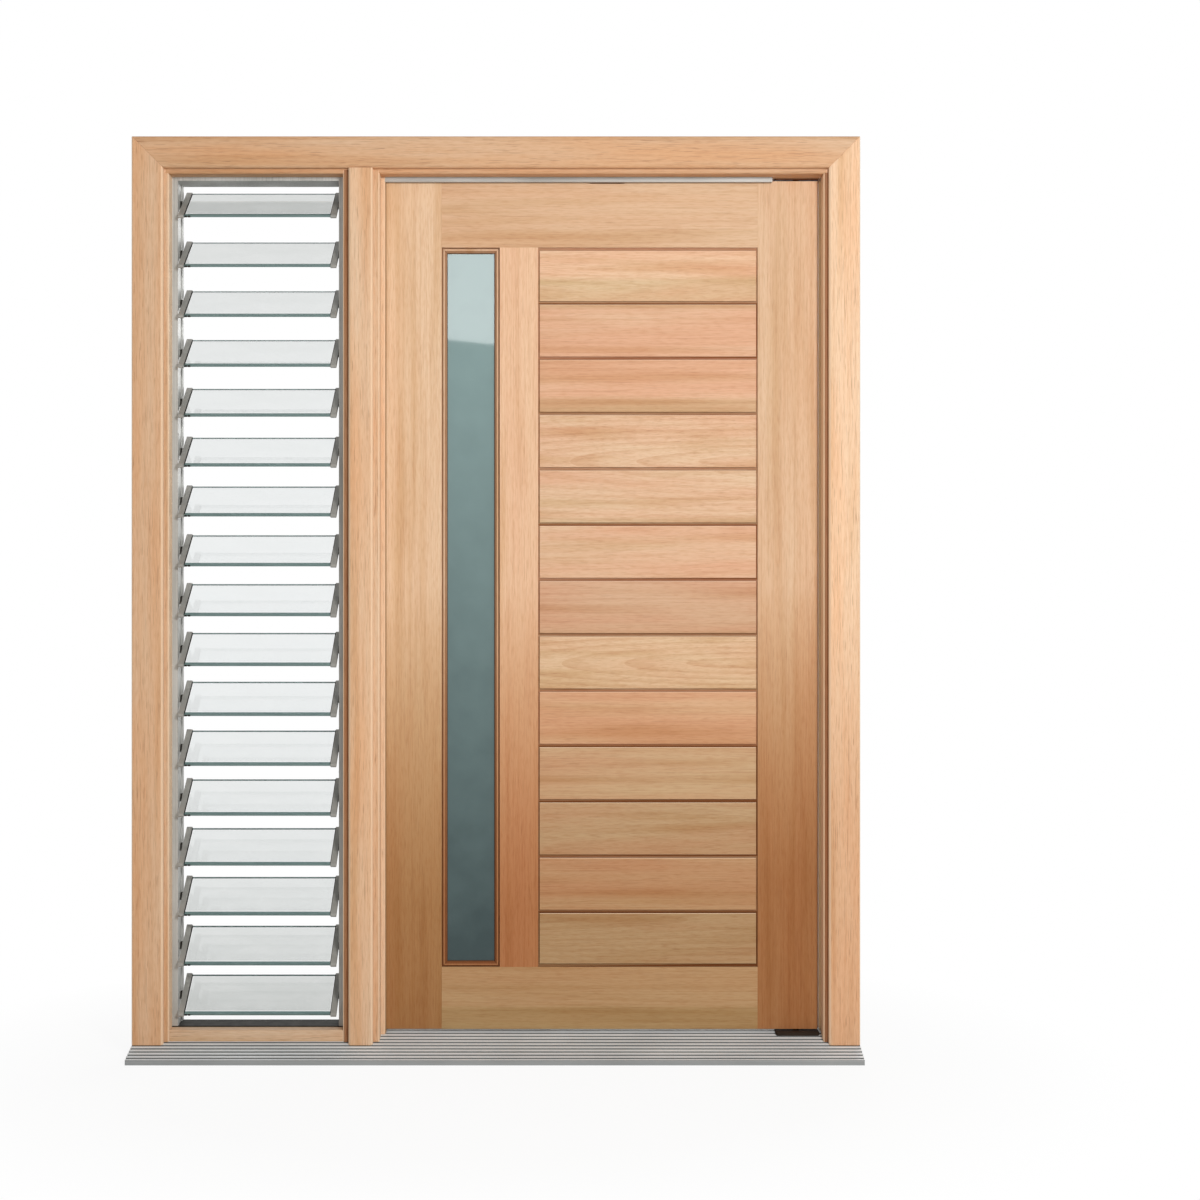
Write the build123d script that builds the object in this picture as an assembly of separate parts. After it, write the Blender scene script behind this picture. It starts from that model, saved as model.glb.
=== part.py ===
from build123d import *
import os
from math import cos, pi, sin, sqrt

# A timber entrance unit: a wide boarded leaf with a tall frosted slot, on pivots, beside a louvre sidelight.
# Millimetres. X runs to the right across the outside face, Y runs inward, Z is up.
# The origin is on the sill's underside, midway across the frame, in the plane of the jambs' outside faces.

# Leaf
LEAF_WIDTH = 1200
LEAF_HEIGHT = 2340
LEAF_THICK = 40
LEAF_SETBACK = 62
LEAF_ARRIS = 2
LOCK_STILE_WIDTH = 160
HEEL_STILE_WIDTH = 168
MUNTIN_WIDTH = 106
TOP_RAIL_HEIGHT = 183
BOTTOM_RAIL_HEIGHT = 171
SLOT_WIDTH = 160

# Shallow notch routed in the front of the leaf's top edge
NOTCH_FROM_LOCK_EDGE = 617
NOTCH_LENGTH = 94
NOTCH_DROP = 7
NOTCH_DEPTH = 12

# Boards, tongues and the shadow lines round each board
BOARD_COUNT = 13
TONGUE_THICK = 12
TONGUE_LENGTH = 10
TONGUE_FIT = 0.2
SHADOW_WIDTH = 9
SHADOW_DEPTH = 6
END_SHADOW_WIDTH = 4

# Frosted pane and its beads
PANE_THICK = 6
PANE_EDGE_GAP = 3
BEAD_WIDTH = 14
BEAD_RECESS = 3
BEAD_QUIRK_WIDTH = 4
BEAD_QUIRK_DEPTH = 6
BEAD_NOSE = 6
MITRE_GAP = 0.2

# Clearances round the leaf
SIDE_GAP = 6
HEAD_GAP = 8
SILL_GAP = 8
STOP_GAP = 5
STOP_LAP = 5
STOP_THICK = 12

# Timber frame
FRAME_DEPTH = 140
JAMB_THICK = 45
HEAD_THICK = 45
MULLION_WIDTH = 100
SIDELIGHT_WIDTH = 475
HOUSING = 10
ARRIS = 3

# Cover moulds on the outside of the frame
MOULD_WIDTH = 85
MOULD_THICK = 20
MOULD_BEVEL = 5
MOULD_MARGIN = 13
MULLION_MOULD_WIDTH = 66

# Ridged hollow sill
SILL_HEIGHT = 55
NOSE_HEIGHT = 14.5
NOSE_REACH = 102
SILL_WALL = 3
GROOVE_COUNT = 9
GROOVE_WIDTH = 8
GROOVE_DEPTH = 3

# Pivots
PIVOT_OFFSET = 60
PIVOT_POCKET = 69
PLATE_LENGTH = 120
PLATE_THICK = 3
HEAD_PLATE_WIDTH = 32
FLOOR_PLATE_WIDTH = 88
FLOOR_PLATE_SKIRT = 8
PLATE_CORNER = 6
PIN_RADIUS = 8
PIN_REACH = 28
PIN_FIT = 0.05
PIN_CHAMFER = 1.5
SOCKET_LENGTH = 90
SOCKET_WIDTH = 24
SOCKET_HEIGHT = 40

# Louvre sidelight
RAIL_RISE = 17
RAIL_SETBACK = 4
CHANNEL_WIDTH = 16
CHANNEL_DEPTH = 85
CHANNEL_INSET = 10
CHANNEL_WALL = 2
CHANNEL_BAND = 20
CHANNEL_STEP = 3
HEAD_STRIP_THICK = 10
SILL_STRIP_THICK = 3
BLADE_COUNT = 17
BLADE_WIDTH = 152
BLADE_THICK = 6
BLADE_ARRIS = 1
BLADE_TILT = 34
BLADE_LIFT = 9
CLIP_WIDTH = 15
CLIP_GRIP = 9
CLIP_WALL = 2.5
CLIP_GAP = 5
CLIP_FIT = 0.1
CLIP_END_SIDES = 4
HUB_RADIUS = 11
HUB_GAP = 0.5
BOSS_RADIUS = 7
BOSS_TAIL = 3
BOSS_SIDES = 12

# Setting out across the frame
DOOR_OPENING = LEAF_WIDTH + 2 * SIDE_GAP
REVEAL = (SIDELIGHT_WIDTH + MULLION_WIDTH + DOOR_OPENING) / 2
JAMB_OUTER = REVEAL + JAMB_THICK
MOULD_INNER = REVEAL + MOULD_MARGIN
MOULD_OUTER = MOULD_INNER + MOULD_WIDTH
MULLION_LEFT = SIDELIGHT_WIDTH - REVEAL
MULLION_RIGHT = MULLION_LEFT + MULLION_WIDTH
MULLION_MID = (MULLION_LEFT + MULLION_RIGHT) / 2
SIDELIGHT_MID = (MULLION_LEFT - REVEAL) / 2

# Setting out across the leaf
LEAF_LEFT = MULLION_RIGHT + SIDE_GAP
LEAF_RIGHT = LEAF_LEFT + LEAF_WIDTH
SLOT_LEFT = LEAF_LEFT + LOCK_STILE_WIDTH
SLOT_RIGHT = SLOT_LEFT + SLOT_WIDTH
FIELD_LEFT = SLOT_RIGHT + MUNTIN_WIDTH
FIELD_RIGHT = LEAF_RIGHT - HEEL_STILE_WIDTH
PIVOT_X = LEAF_RIGHT - PIVOT_OFFSET

# Distances to the left from the sidelight's middle
CHANNEL_FACE = SIDELIGHT_WIDTH / 2 - CHANNEL_WIDTH
CLIP_BACK = CHANNEL_FACE - CLIP_GAP
CLIP_MOUTH = CLIP_BACK - CLIP_WIDTH
BLADE_END = CLIP_MOUTH + CLIP_GRIP
HUB_END = CHANNEL_FACE + CHANNEL_STEP - HUB_GAP
BOSS_END = CHANNEL_FACE + CHANNEL_STEP + CHANNEL_WALL + BOSS_TAIL

# Setting out through the wall
LEAF_FRONT = LEAF_SETBACK
LEAF_BACK = LEAF_FRONT + LEAF_THICK
LEAF_MID = LEAF_FRONT + LEAF_THICK / 2
STOP_BACK = LEAF_FRONT - STOP_GAP
STOP_FRONT = STOP_BACK - STOP_THICK
STOP_REACH = SIDE_GAP + STOP_LAP
STOP_DROP = HEAD_GAP + STOP_LAP
CHANNEL_BACK = FRAME_DEPTH - CHANNEL_INSET
CHANNEL_FRONT = CHANNEL_BACK - CHANNEL_DEPTH
CHANNEL_MID = (CHANNEL_FRONT + CHANNEL_BACK) / 2

# Depth of the grooves that take the leaf's tongues
GROOVE_LENGTH = TONGUE_LENGTH + TONGUE_FIT

# Setting out in height
LEAF_BOTTOM = SILL_HEIGHT + SILL_GAP
LEAF_TOP = LEAF_BOTTOM + LEAF_HEIGHT
FIELD_BOTTOM = LEAF_BOTTOM + BOTTOM_RAIL_HEIGHT
FIELD_TOP = LEAF_TOP - TOP_RAIL_HEIGHT
BOARD_PITCH = (FIELD_TOP - FIELD_BOTTOM) / BOARD_COUNT
HEAD_UNDER = LEAF_TOP + HEAD_GAP
HEAD_TOP = HEAD_UNDER + HEAD_THICK
MOULD_UNDER = HEAD_UNDER + MOULD_MARGIN
MOULD_TOP = MOULD_UNDER + MOULD_WIDTH
RAIL_TOP = SILL_HEIGHT + RAIL_RISE
LOUVRE_BOTTOM = RAIL_TOP + SILL_STRIP_THICK
LOUVRE_TOP = HEAD_UNDER - HEAD_STRIP_THICK
BLADE_PITCH = (LOUVRE_TOP - LOUVRE_BOTTOM) / BLADE_COUNT

# The sill's top slopes from the nose up to the leaf's outside face, then lies flat
SLOPE_RUN = LEAF_FRONT + NOSE_REACH
SLOPE_RISE = SILL_HEIGHT - NOSE_HEIGHT
SLOPE_LENGTH = sqrt(SLOPE_RUN**2 + SLOPE_RISE**2)


def rect(left, right, low, high):
    """Corner points of an upright rectangle."""
    return [(left, low), (right, low), (right, high), (left, high)]


def along_x(points, start, end):
    """Straight solid whose outline is given in Y and Z."""
    outline = Plane.YZ.offset(start) * Polyline(*points, close=True)
    return extrude(make_face(outline), end - start, dir=(1, 0, 0))


def along_y(points, start, end):
    """Straight solid whose outline is given in X and Z."""
    outline = Plane.XZ.offset(-start) * Polyline(*points, close=True)
    return extrude(make_face(outline), end - start, dir=(0, 1, 0))


def along_z(points, start, end):
    """Straight solid whose outline is given in X and Y."""
    outline = Plane.XY.offset(start) * Polyline(*points, close=True)
    return extrude(make_face(outline), end - start, dir=(0, 0, 1))


def sill_top(y):
    """Height of the sill's ridge tops at a depth through the wall."""
    return min(SILL_HEIGHT, NOSE_HEIGHT + (y + NOSE_REACH) * SLOPE_RISE / SLOPE_RUN)


def sill_envelope(half_width):
    """Sill as a plain bar, without its grooves, chambers and notched ends."""
    outline = [
        (-NOSE_REACH, 0),
        (FRAME_DEPTH, 0),
        (FRAME_DEPTH, SILL_HEIGHT),
        (LEAF_FRONT, SILL_HEIGHT),
        (-NOSE_REACH, NOSE_HEIGHT),
    ]
    return along_x(outline, -half_width, half_width)


def seat_on_sill(piece):
    """Cut a piece's foot to the sill's top."""
    return piece - sill_envelope(2 * MOULD_OUTER)


def sill_groove(index):
    """One straight groove between two ridges of the sloping tread."""
    pitch = SLOPE_LENGTH / GROOVE_COUNT
    middle = (index + 0.5) * pitch
    tread = Plane(
        origin=(-MOULD_OUTER, -NOSE_REACH, NOSE_HEIGHT),
        x_dir=(0, SLOPE_RUN, SLOPE_RISE),
        z_dir=(1, 0, 0),
    )
    corners = rect(middle - GROOVE_WIDTH / 2, middle + GROOVE_WIDTH / 2, -GROOVE_DEPTH, GROOVE_DEPTH)
    return extrude(make_face(tread * Polyline(*corners, close=True)), 2 * MOULD_OUTER, dir=(1, 0, 0))


def sill_chamber(front, back):
    """One hollow chamber of the sill, between two upright walls."""
    skin = (GROOVE_DEPTH + SILL_WALL) * SLOPE_LENGTH / SLOPE_RUN
    outline = [
        (front, SILL_WALL),
        (back, SILL_WALL),
        (back, sill_top(back) - skin),
        (front, sill_top(front) - skin),
    ]
    return along_x(outline, -MOULD_OUTER, MOULD_OUTER)


def make_sill():
    """Hollow ridged sill, its ends notched back to the jambs behind the cover moulds."""
    half_wall = SILL_WALL / 2
    sill = sill_envelope(MOULD_OUTER)
    for index in range(GROOVE_COUNT):
        sill -= sill_groove(index)
    sill -= sill_chamber(SILL_WALL - NOSE_REACH, -half_wall)
    sill -= sill_chamber(half_wall, LEAF_FRONT - half_wall)
    sill -= sill_chamber(LEAF_FRONT + half_wall, FRAME_DEPTH - SILL_WALL)
    for near, far in ((-MOULD_OUTER, -JAMB_OUTER), (JAMB_OUTER, MOULD_OUTER)):
        sill -= along_z(rect(near, far, 0, FRAME_DEPTH), 0, SILL_HEIGHT)
    return sill


def make_mullion():
    """Post between the sidelight and the leaf, housed in the head."""
    outline = [
        (MULLION_LEFT + ARRIS, 0),
        (MULLION_RIGHT - ARRIS, 0),
        (MULLION_RIGHT, ARRIS),
        (MULLION_RIGHT, FRAME_DEPTH),
        (MULLION_LEFT, FRAME_DEPTH),
        (MULLION_LEFT, ARRIS),
    ]
    return seat_on_sill(along_z(outline, 0, HEAD_UNDER + HOUSING))


def make_head(mullion):
    """Head of the frame, housed in both jambs and trenched for the mullion."""
    outline = [
        (ARRIS, HEAD_UNDER),
        (FRAME_DEPTH, HEAD_UNDER),
        (FRAME_DEPTH, HEAD_TOP),
        (0, HEAD_TOP),
        (0, HEAD_UNDER + ARRIS),
    ]
    return along_x(outline, -REVEAL - HOUSING, REVEAL + HOUSING) - mullion


def make_left_jamb(head):
    """Side post of the frame, trenched for the head."""
    outline = [
        (-JAMB_OUTER, 0),
        (-REVEAL - ARRIS, 0),
        (-REVEAL, ARRIS),
        (-REVEAL, FRAME_DEPTH),
        (-JAMB_OUTER, FRAME_DEPTH),
    ]
    return seat_on_sill(along_z(outline, 0, HEAD_TOP)) - head


def make_left_mould():
    """Side cover mould, standing on the sill and mitred at the top."""
    outline = [
        (-MOULD_OUTER, 0),
        (-MOULD_OUTER, ARRIS - MOULD_THICK),
        (ARRIS - MOULD_OUTER, -MOULD_THICK),
        (-MOULD_INNER - MOULD_BEVEL, -MOULD_THICK),
        (-MOULD_INNER, MOULD_BEVEL - MOULD_THICK),
        (-MOULD_INNER, 0),
    ]
    mitre = [
        (-MOULD_OUTER, 0),
        (-MOULD_INNER, 0),
        (-MOULD_INNER, MOULD_UNDER),
        (-MOULD_OUTER, MOULD_TOP),
    ]
    return seat_on_sill(along_z(outline, 0, MOULD_TOP)) & along_y(mitre, -MOULD_THICK, 0)


def make_head_mould():
    """Top cover mould, mitred at both ends."""
    outline = [
        (0, MOULD_TOP),
        (ARRIS - MOULD_THICK, MOULD_TOP),
        (-MOULD_THICK, MOULD_TOP - ARRIS),
        (-MOULD_THICK, MOULD_UNDER + MOULD_BEVEL),
        (MOULD_BEVEL - MOULD_THICK, MOULD_UNDER),
        (0, MOULD_UNDER),
    ]
    mitre = [
        (-MOULD_OUTER, MOULD_TOP),
        (-MOULD_INNER, MOULD_UNDER),
        (MOULD_INNER, MOULD_UNDER),
        (MOULD_OUTER, MOULD_TOP),
    ]
    return along_x(outline, -MOULD_OUTER, MOULD_OUTER) & along_y(mitre, -MOULD_THICK, 0)


def make_mullion_mould():
    """Cover mould of the mullion, from the sill to the underside of the top mould."""
    left = MULLION_MID - MULLION_MOULD_WIDTH / 2
    right = MULLION_MID + MULLION_MOULD_WIDTH / 2
    outline = [
        (left, 0),
        (left, MOULD_BEVEL - MOULD_THICK),
        (left + MOULD_BEVEL, -MOULD_THICK),
        (right - MOULD_BEVEL, -MOULD_THICK),
        (right, MOULD_BEVEL - MOULD_THICK),
        (right, 0),
    ]
    return seat_on_sill(along_z(outline, 0, MOULD_UNDER))


def make_sidelight_rail():
    """Timber rail across the foot of the sidelight."""
    outline = [
        (RAIL_SETBACK, 0),
        (FRAME_DEPTH, 0),
        (FRAME_DEPTH, RAIL_TOP),
        (RAIL_SETBACK + ARRIS, RAIL_TOP),
        (RAIL_SETBACK, RAIL_TOP - ARRIS),
    ]
    return seat_on_sill(along_x(outline, -REVEAL, MULLION_LEFT))


def make_head_stop():
    """Strip that the leaf's top closes against, ending short of the pivot so that the heel can swing out."""
    section = rect(STOP_FRONT, STOP_BACK, HEAD_UNDER - STOP_DROP, HEAD_UNDER)
    return along_x(section, MULLION_RIGHT + STOP_REACH, PIVOT_X - PIVOT_POCKET)


def make_lock_stop():
    """Timber strip on the mullion that the leaf's lock edge closes against."""
    section = rect(MULLION_RIGHT, MULLION_RIGHT + STOP_REACH, STOP_FRONT, STOP_BACK)
    return seat_on_sill(along_z(section, 0, HEAD_UNDER))


def louvre_strip(low, high):
    """Flat strip across the top or foot of the louvre."""
    return along_x(rect(CHANNEL_FRONT, CHANNEL_BACK, low, high), -REVEAL, MULLION_LEFT)


def blade_places():
    """Place of each blade's middle, turned so that its outside edge hangs low."""
    for index in range(BLADE_COUNT):
        height = LOUVRE_BOTTOM + BLADE_LIFT + (index + 0.5) * BLADE_PITCH
        yield Location((SIDELIGHT_MID, CHANNEL_MID, height), (BLADE_TILT, 0, 0))


def left_boss(radius, near, far):
    """Many-sided bar along X, reaching left from the sidelight's middle plane."""
    outline = Plane.YZ.offset(-near) * RegularPolygon(radius, BOSS_SIDES)
    return extrude(outline, far - near, dir=(-1, 0, 0))


def make_left_channel():
    """Side channel of the louvre: a folded section with a sunk track, pierced for the clips' bosses."""
    jamb = -REVEAL
    face = jamb + CHANNEL_WIDTH
    track = face - CHANNEL_STEP
    wall = CHANNEL_WALL
    band_front = CHANNEL_FRONT + CHANNEL_BAND
    band_back = CHANNEL_BACK - CHANNEL_BAND
    outline = [
        (jamb, CHANNEL_FRONT),
        (face, CHANNEL_FRONT),
        (face, band_front),
        (track, band_front),
        (track, band_back),
        (face, band_back),
        (face, CHANNEL_BACK),
        (jamb, CHANNEL_BACK),
        (jamb, CHANNEL_BACK - wall),
        (face - wall, CHANNEL_BACK - wall),
        (face - wall, band_back + wall),
        (track - wall, band_back + wall),
        (track - wall, band_front - wall),
        (face - wall, band_front - wall),
        (face - wall, CHANNEL_FRONT + wall),
        (jamb, CHANNEL_FRONT + wall),
    ]
    channel = along_z(outline, LOUVRE_BOTTOM, LOUVRE_TOP)
    hole = left_boss(BOSS_RADIUS + CLIP_FIT, CHANNEL_FACE, BOSS_END)
    for place in blade_places():
        channel -= place * hole
    return channel


def left_clip():
    """Moulded holder that grips a blade's end, about the blade's own middle, with the hub and boss it turns on."""
    pocket_width = BLADE_WIDTH / 2 + CLIP_FIT
    pocket_thick = BLADE_THICK / 2 + CLIP_FIT
    radius = pocket_thick + CLIP_WALL
    turns = [pi * step / CLIP_END_SIDES for step in range(CLIP_END_SIDES + 1)]
    inside_end = [(pocket_width + radius * sin(turn), radius * cos(turn)) for turn in turns]
    outside_end = [(-along, -across) for along, across in inside_end]
    pocket = rect(-pocket_width, pocket_width, -pocket_thick, pocket_thick)
    holder = along_x(inside_end + outside_end, -CLIP_BACK, -CLIP_MOUTH)
    holder -= along_x(pocket, -BLADE_END - CLIP_FIT, -CLIP_MOUTH)
    holder += left_boss(HUB_RADIUS, CLIP_BACK, HUB_END)
    return holder + left_boss(BOSS_RADIUS, HUB_END, BOSS_END)


def blade():
    """One glass blade about its own middle, its long edges ground."""
    half_width = BLADE_WIDTH / 2
    half_thick = BLADE_THICK / 2
    outline = [
        (-half_width, -half_thick + BLADE_ARRIS),
        (-half_width + BLADE_ARRIS, -half_thick),
        (half_width - BLADE_ARRIS, -half_thick),
        (half_width, -half_thick + BLADE_ARRIS),
        (half_width, half_thick - BLADE_ARRIS),
        (half_width - BLADE_ARRIS, half_thick),
        (-half_width + BLADE_ARRIS, half_thick),
        (-half_width, half_thick - BLADE_ARRIS),
    ]
    return along_x(outline, -BLADE_END, BLADE_END)


def one_per_blade(piece):
    """The same piece at every blade of the louvre."""
    return Compound(children=[place * piece for place in blade_places()])


def pivot_plate(width, low, high):
    """Flat plate with rounded corners, centred on the pivot."""
    outline = Pos(PIVOT_X, LEAF_MID, low) * RectangleRounded(PLATE_LENGTH, width, PLATE_CORNER)
    return extrude(outline, high - low)


def pivot_pin(low, high, tip):
    """Round pin on the pivot axis with a chamfered tip at one end."""
    pin = extrude(Pos(PIVOT_X, LEAF_MID, low) * Circle(PIN_RADIUS), high - low)
    return chamfer(pin.edges().filter_by(GeomType.CIRCLE).sort_by(Axis.Z)[tip], PIN_CHAMFER)


def make_head_pivot():
    """Plate under the head with the pin that enters the leaf's top."""
    low = LEAF_TOP - PIN_REACH
    plate = pivot_plate(HEAD_PLATE_WIDTH, HEAD_UNDER - PLATE_THICK, HEAD_UNDER)
    return plate + pivot_pin(low, HEAD_UNDER - PLATE_THICK, 0)


def make_floor_pivot():
    """Plate on the sill, its front lip following the slope, with the pin that carries the leaf."""
    top = SILL_HEIGHT + PLATE_THICK
    plate = seat_on_sill(pivot_plate(FLOOR_PLATE_WIDTH, SILL_HEIGHT - FLOOR_PLATE_SKIRT, top))
    return plate + pivot_pin(top, LEAF_BOTTOM + PIN_REACH, -1)


def socket_block(low, high):
    """Block let into an end of the heel stile, on the pivot axis."""
    half_length = SOCKET_LENGTH / 2
    half_width = SOCKET_WIDTH / 2
    section = rect(PIVOT_X - half_length, PIVOT_X + half_length, LEAF_MID - half_width, LEAF_MID + half_width)
    return along_z(section, low, high)


def make_bottom_socket():
    """Socket under the leaf, whose bore ends on the floor pivot's tip."""
    bore = Pos(PIVOT_X, LEAF_MID, LEAF_BOTTOM) * Circle(PIN_RADIUS + PIN_FIT)
    return socket_block(LEAF_BOTTOM, LEAF_BOTTOM + SOCKET_HEIGHT) - extrude(bore, PIN_REACH + PIN_FIT)


def make_top_socket():
    """Socket in the leaf's top, bored right through for the head pivot."""
    low = LEAF_TOP - SOCKET_HEIGHT
    bore = Pos(PIVOT_X, LEAF_MID, low) * Circle(PIN_RADIUS + PIN_FIT)
    return socket_block(low, LEAF_TOP) - extrude(bore, SOCKET_HEIGHT)


def core(left, right, low, high, fit=0):
    """Tongue at the middle of the leaf's thickness, or with a fit, the groove that takes it."""
    half = TONGUE_THICK / 2 + fit
    return along_y(rect(left, right, low, high), LEAF_MID - half, LEAF_MID + half)


def make_lock_stile():
    """Stile at the free edge, mortised for both rails."""
    outline = [
        (LEAF_LEFT + LEAF_ARRIS, LEAF_FRONT),
        (SLOT_LEFT, LEAF_FRONT),
        (SLOT_LEFT, LEAF_BACK),
        (LEAF_LEFT + LEAF_ARRIS, LEAF_BACK),
        (LEAF_LEFT, LEAF_BACK - LEAF_ARRIS),
        (LEAF_LEFT, LEAF_FRONT + LEAF_ARRIS),
    ]
    stile = along_z(outline, LEAF_BOTTOM, LEAF_TOP)
    stile -= core(SLOT_LEFT - GROOVE_LENGTH, SLOT_LEFT, FIELD_TOP, LEAF_TOP, TONGUE_FIT)
    stile -= core(SLOT_LEFT - GROOVE_LENGTH, SLOT_LEFT, LEAF_BOTTOM, FIELD_BOTTOM, TONGUE_FIT)
    return stile


def make_heel_stile():
    """Stile on the pivots: outer edge rounded about them, inner edge grooved, ends cut for the sockets."""
    edge = PIVOT_X + sqrt(PIVOT_OFFSET**2 - (LEAF_THICK / 2) ** 2)
    sides = Polyline(
        (edge, LEAF_BACK),
        (FIELD_RIGHT, LEAF_BACK),
        (FIELD_RIGHT, LEAF_FRONT),
        (edge, LEAF_FRONT),
    )
    heel = ThreePointArc((edge, LEAF_FRONT), (LEAF_RIGHT, LEAF_MID), (edge, LEAF_BACK))
    stile = extrude(Pos(0, 0, LEAF_BOTTOM) * make_face([sides, heel]), LEAF_HEIGHT)
    stile -= core(FIELD_RIGHT, FIELD_RIGHT + GROOVE_LENGTH, LEAF_BOTTOM, LEAF_TOP, TONGUE_FIT)
    stile -= socket_block(LEAF_BOTTOM, LEAF_BOTTOM + SOCKET_HEIGHT)
    return stile - socket_block(LEAF_TOP - SOCKET_HEIGHT, LEAF_TOP)


def leaf_rail(low, high):
    """Rail between the stiles with a tongue at each end."""
    rail = along_x(rect(LEAF_FRONT, LEAF_BACK, low, high), SLOT_LEFT, FIELD_RIGHT)
    return rail + core(SLOT_LEFT - TONGUE_LENGTH, FIELD_RIGHT + TONGUE_LENGTH, low, high)


def make_top_rail():
    """Top rail, grooved for the muntin and the top board, with a shallow notch in its top edge."""
    notch_mid = LEAF_LEFT + NOTCH_FROM_LOCK_EDGE
    notch = rect(notch_mid - NOTCH_LENGTH / 2, notch_mid + NOTCH_LENGTH / 2, LEAF_TOP - NOTCH_DROP, LEAF_TOP)
    rail = leaf_rail(FIELD_TOP, LEAF_TOP)
    rail -= core(SLOT_RIGHT, FIELD_RIGHT, FIELD_TOP, FIELD_TOP + GROOVE_LENGTH, TONGUE_FIT)
    return rail - along_y(notch, LEAF_FRONT, LEAF_FRONT + NOTCH_DEPTH)


def make_bottom_rail():
    """Bottom rail, mortised for the muntin and tongued for the lowest board."""
    rail = leaf_rail(LEAF_BOTTOM, FIELD_BOTTOM)
    rail -= core(SLOT_RIGHT, FIELD_LEFT, FIELD_BOTTOM - GROOVE_LENGTH, FIELD_BOTTOM, TONGUE_FIT)
    return rail + core(FIELD_LEFT, FIELD_RIGHT, FIELD_BOTTOM, FIELD_BOTTOM + TONGUE_LENGTH)


def make_muntin():
    """Upright between the glass and the boards, grooved for the boards and tongued into both rails."""
    bar = along_z(rect(SLOT_RIGHT, FIELD_LEFT, LEAF_FRONT, LEAF_BACK), FIELD_BOTTOM, FIELD_TOP)
    bar -= core(FIELD_LEFT - GROOVE_LENGTH, FIELD_LEFT, FIELD_BOTTOM, FIELD_TOP, TONGUE_FIT)
    bar += core(SLOT_RIGHT, FIELD_LEFT, FIELD_TOP, FIELD_TOP + TONGUE_LENGTH)
    return bar + core(SLOT_RIGHT, FIELD_LEFT, FIELD_BOTTOM - TONGUE_LENGTH, FIELD_BOTTOM)


def make_board(index):
    """Board tongued on its top edge and both ends and grooved below, with a shadow line round its faces."""
    low = FIELD_BOTTOM + index * BOARD_PITCH
    high = low + BOARD_PITCH
    face_low = low + (SHADOW_WIDTH if index == 0 else SHADOW_WIDTH / 2)
    face_high = high - (SHADOW_WIDTH if index == BOARD_COUNT - 1 else SHADOW_WIDTH / 2)
    middle = rect(LEAF_FRONT + SHADOW_DEPTH, LEAF_BACK - SHADOW_DEPTH, low, high)
    board = along_x(middle, FIELD_LEFT, FIELD_RIGHT)
    board += along_x(
        rect(LEAF_FRONT, LEAF_BACK, face_low, face_high),
        FIELD_LEFT + END_SHADOW_WIDTH,
        FIELD_RIGHT - END_SHADOW_WIDTH,
    )
    board += core(FIELD_LEFT - TONGUE_LENGTH, FIELD_RIGHT + TONGUE_LENGTH, low, high)
    board += core(FIELD_LEFT, FIELD_RIGHT, high, high + TONGUE_LENGTH)
    return board - core(FIELD_LEFT, FIELD_RIGHT, low, low + GROOVE_LENGTH, TONGUE_FIT)


def make_pane():
    """Frosted pane, clear of the timber all round and held between the beads."""
    outline = rect(
        SLOT_LEFT + PANE_EDGE_GAP,
        SLOT_RIGHT - PANE_EDGE_GAP,
        FIELD_BOTTOM + PANE_EDGE_GAP,
        FIELD_TOP - PANE_EDGE_GAP,
    )
    return along_y(outline, LEAF_MID - PANE_THICK / 2, LEAF_MID + PANE_THICK / 2)


def bead_strip(length):
    """One glazing bead along X: Y is inward over the glass, Z is out from the glass, both ends mitred."""
    depth = (LEAF_THICK - PANE_THICK) / 2 - BEAD_RECESS
    section = [
        (0, 0),
        (BEAD_WIDTH, 0),
        (BEAD_WIDTH, depth - BEAD_NOSE),
        (BEAD_WIDTH - BEAD_NOSE, depth),
        (BEAD_QUIRK_WIDTH, depth),
        (BEAD_QUIRK_WIDTH, depth - BEAD_QUIRK_DEPTH),
        (0, depth - BEAD_QUIRK_DEPTH),
    ]
    half_gap = MITRE_GAP / 2
    plan = [
        (half_gap, 0),
        (length - half_gap, 0),
        (length - half_gap - BEAD_WIDTH, BEAD_WIDTH),
        (half_gap + BEAD_WIDTH, BEAD_WIDTH),
    ]
    return along_x(section, 0, length) & along_z(plan, 0, depth)


def make_outside_beads():
    """Four mitred beads round the pane on its outside."""
    glass = LEAF_MID - PANE_THICK / 2
    height = FIELD_TOP - FIELD_BOTTOM
    sides = [
        ((SLOT_LEFT, glass, FIELD_BOTTOM), (1, 0, 0), SLOT_WIDTH),
        ((SLOT_RIGHT, glass, FIELD_BOTTOM), (0, 0, 1), height),
        ((SLOT_RIGHT, glass, FIELD_TOP), (-1, 0, 0), SLOT_WIDTH),
        ((SLOT_LEFT, glass, FIELD_TOP), (0, 0, -1), height),
    ]
    strips = []
    for corner, run, length in sides:
        edge = Plane(origin=corner, x_dir=run, z_dir=(0, -1, 0))
        strips.append(edge * bead_strip(length))
    return Compound(children=strips)


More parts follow.
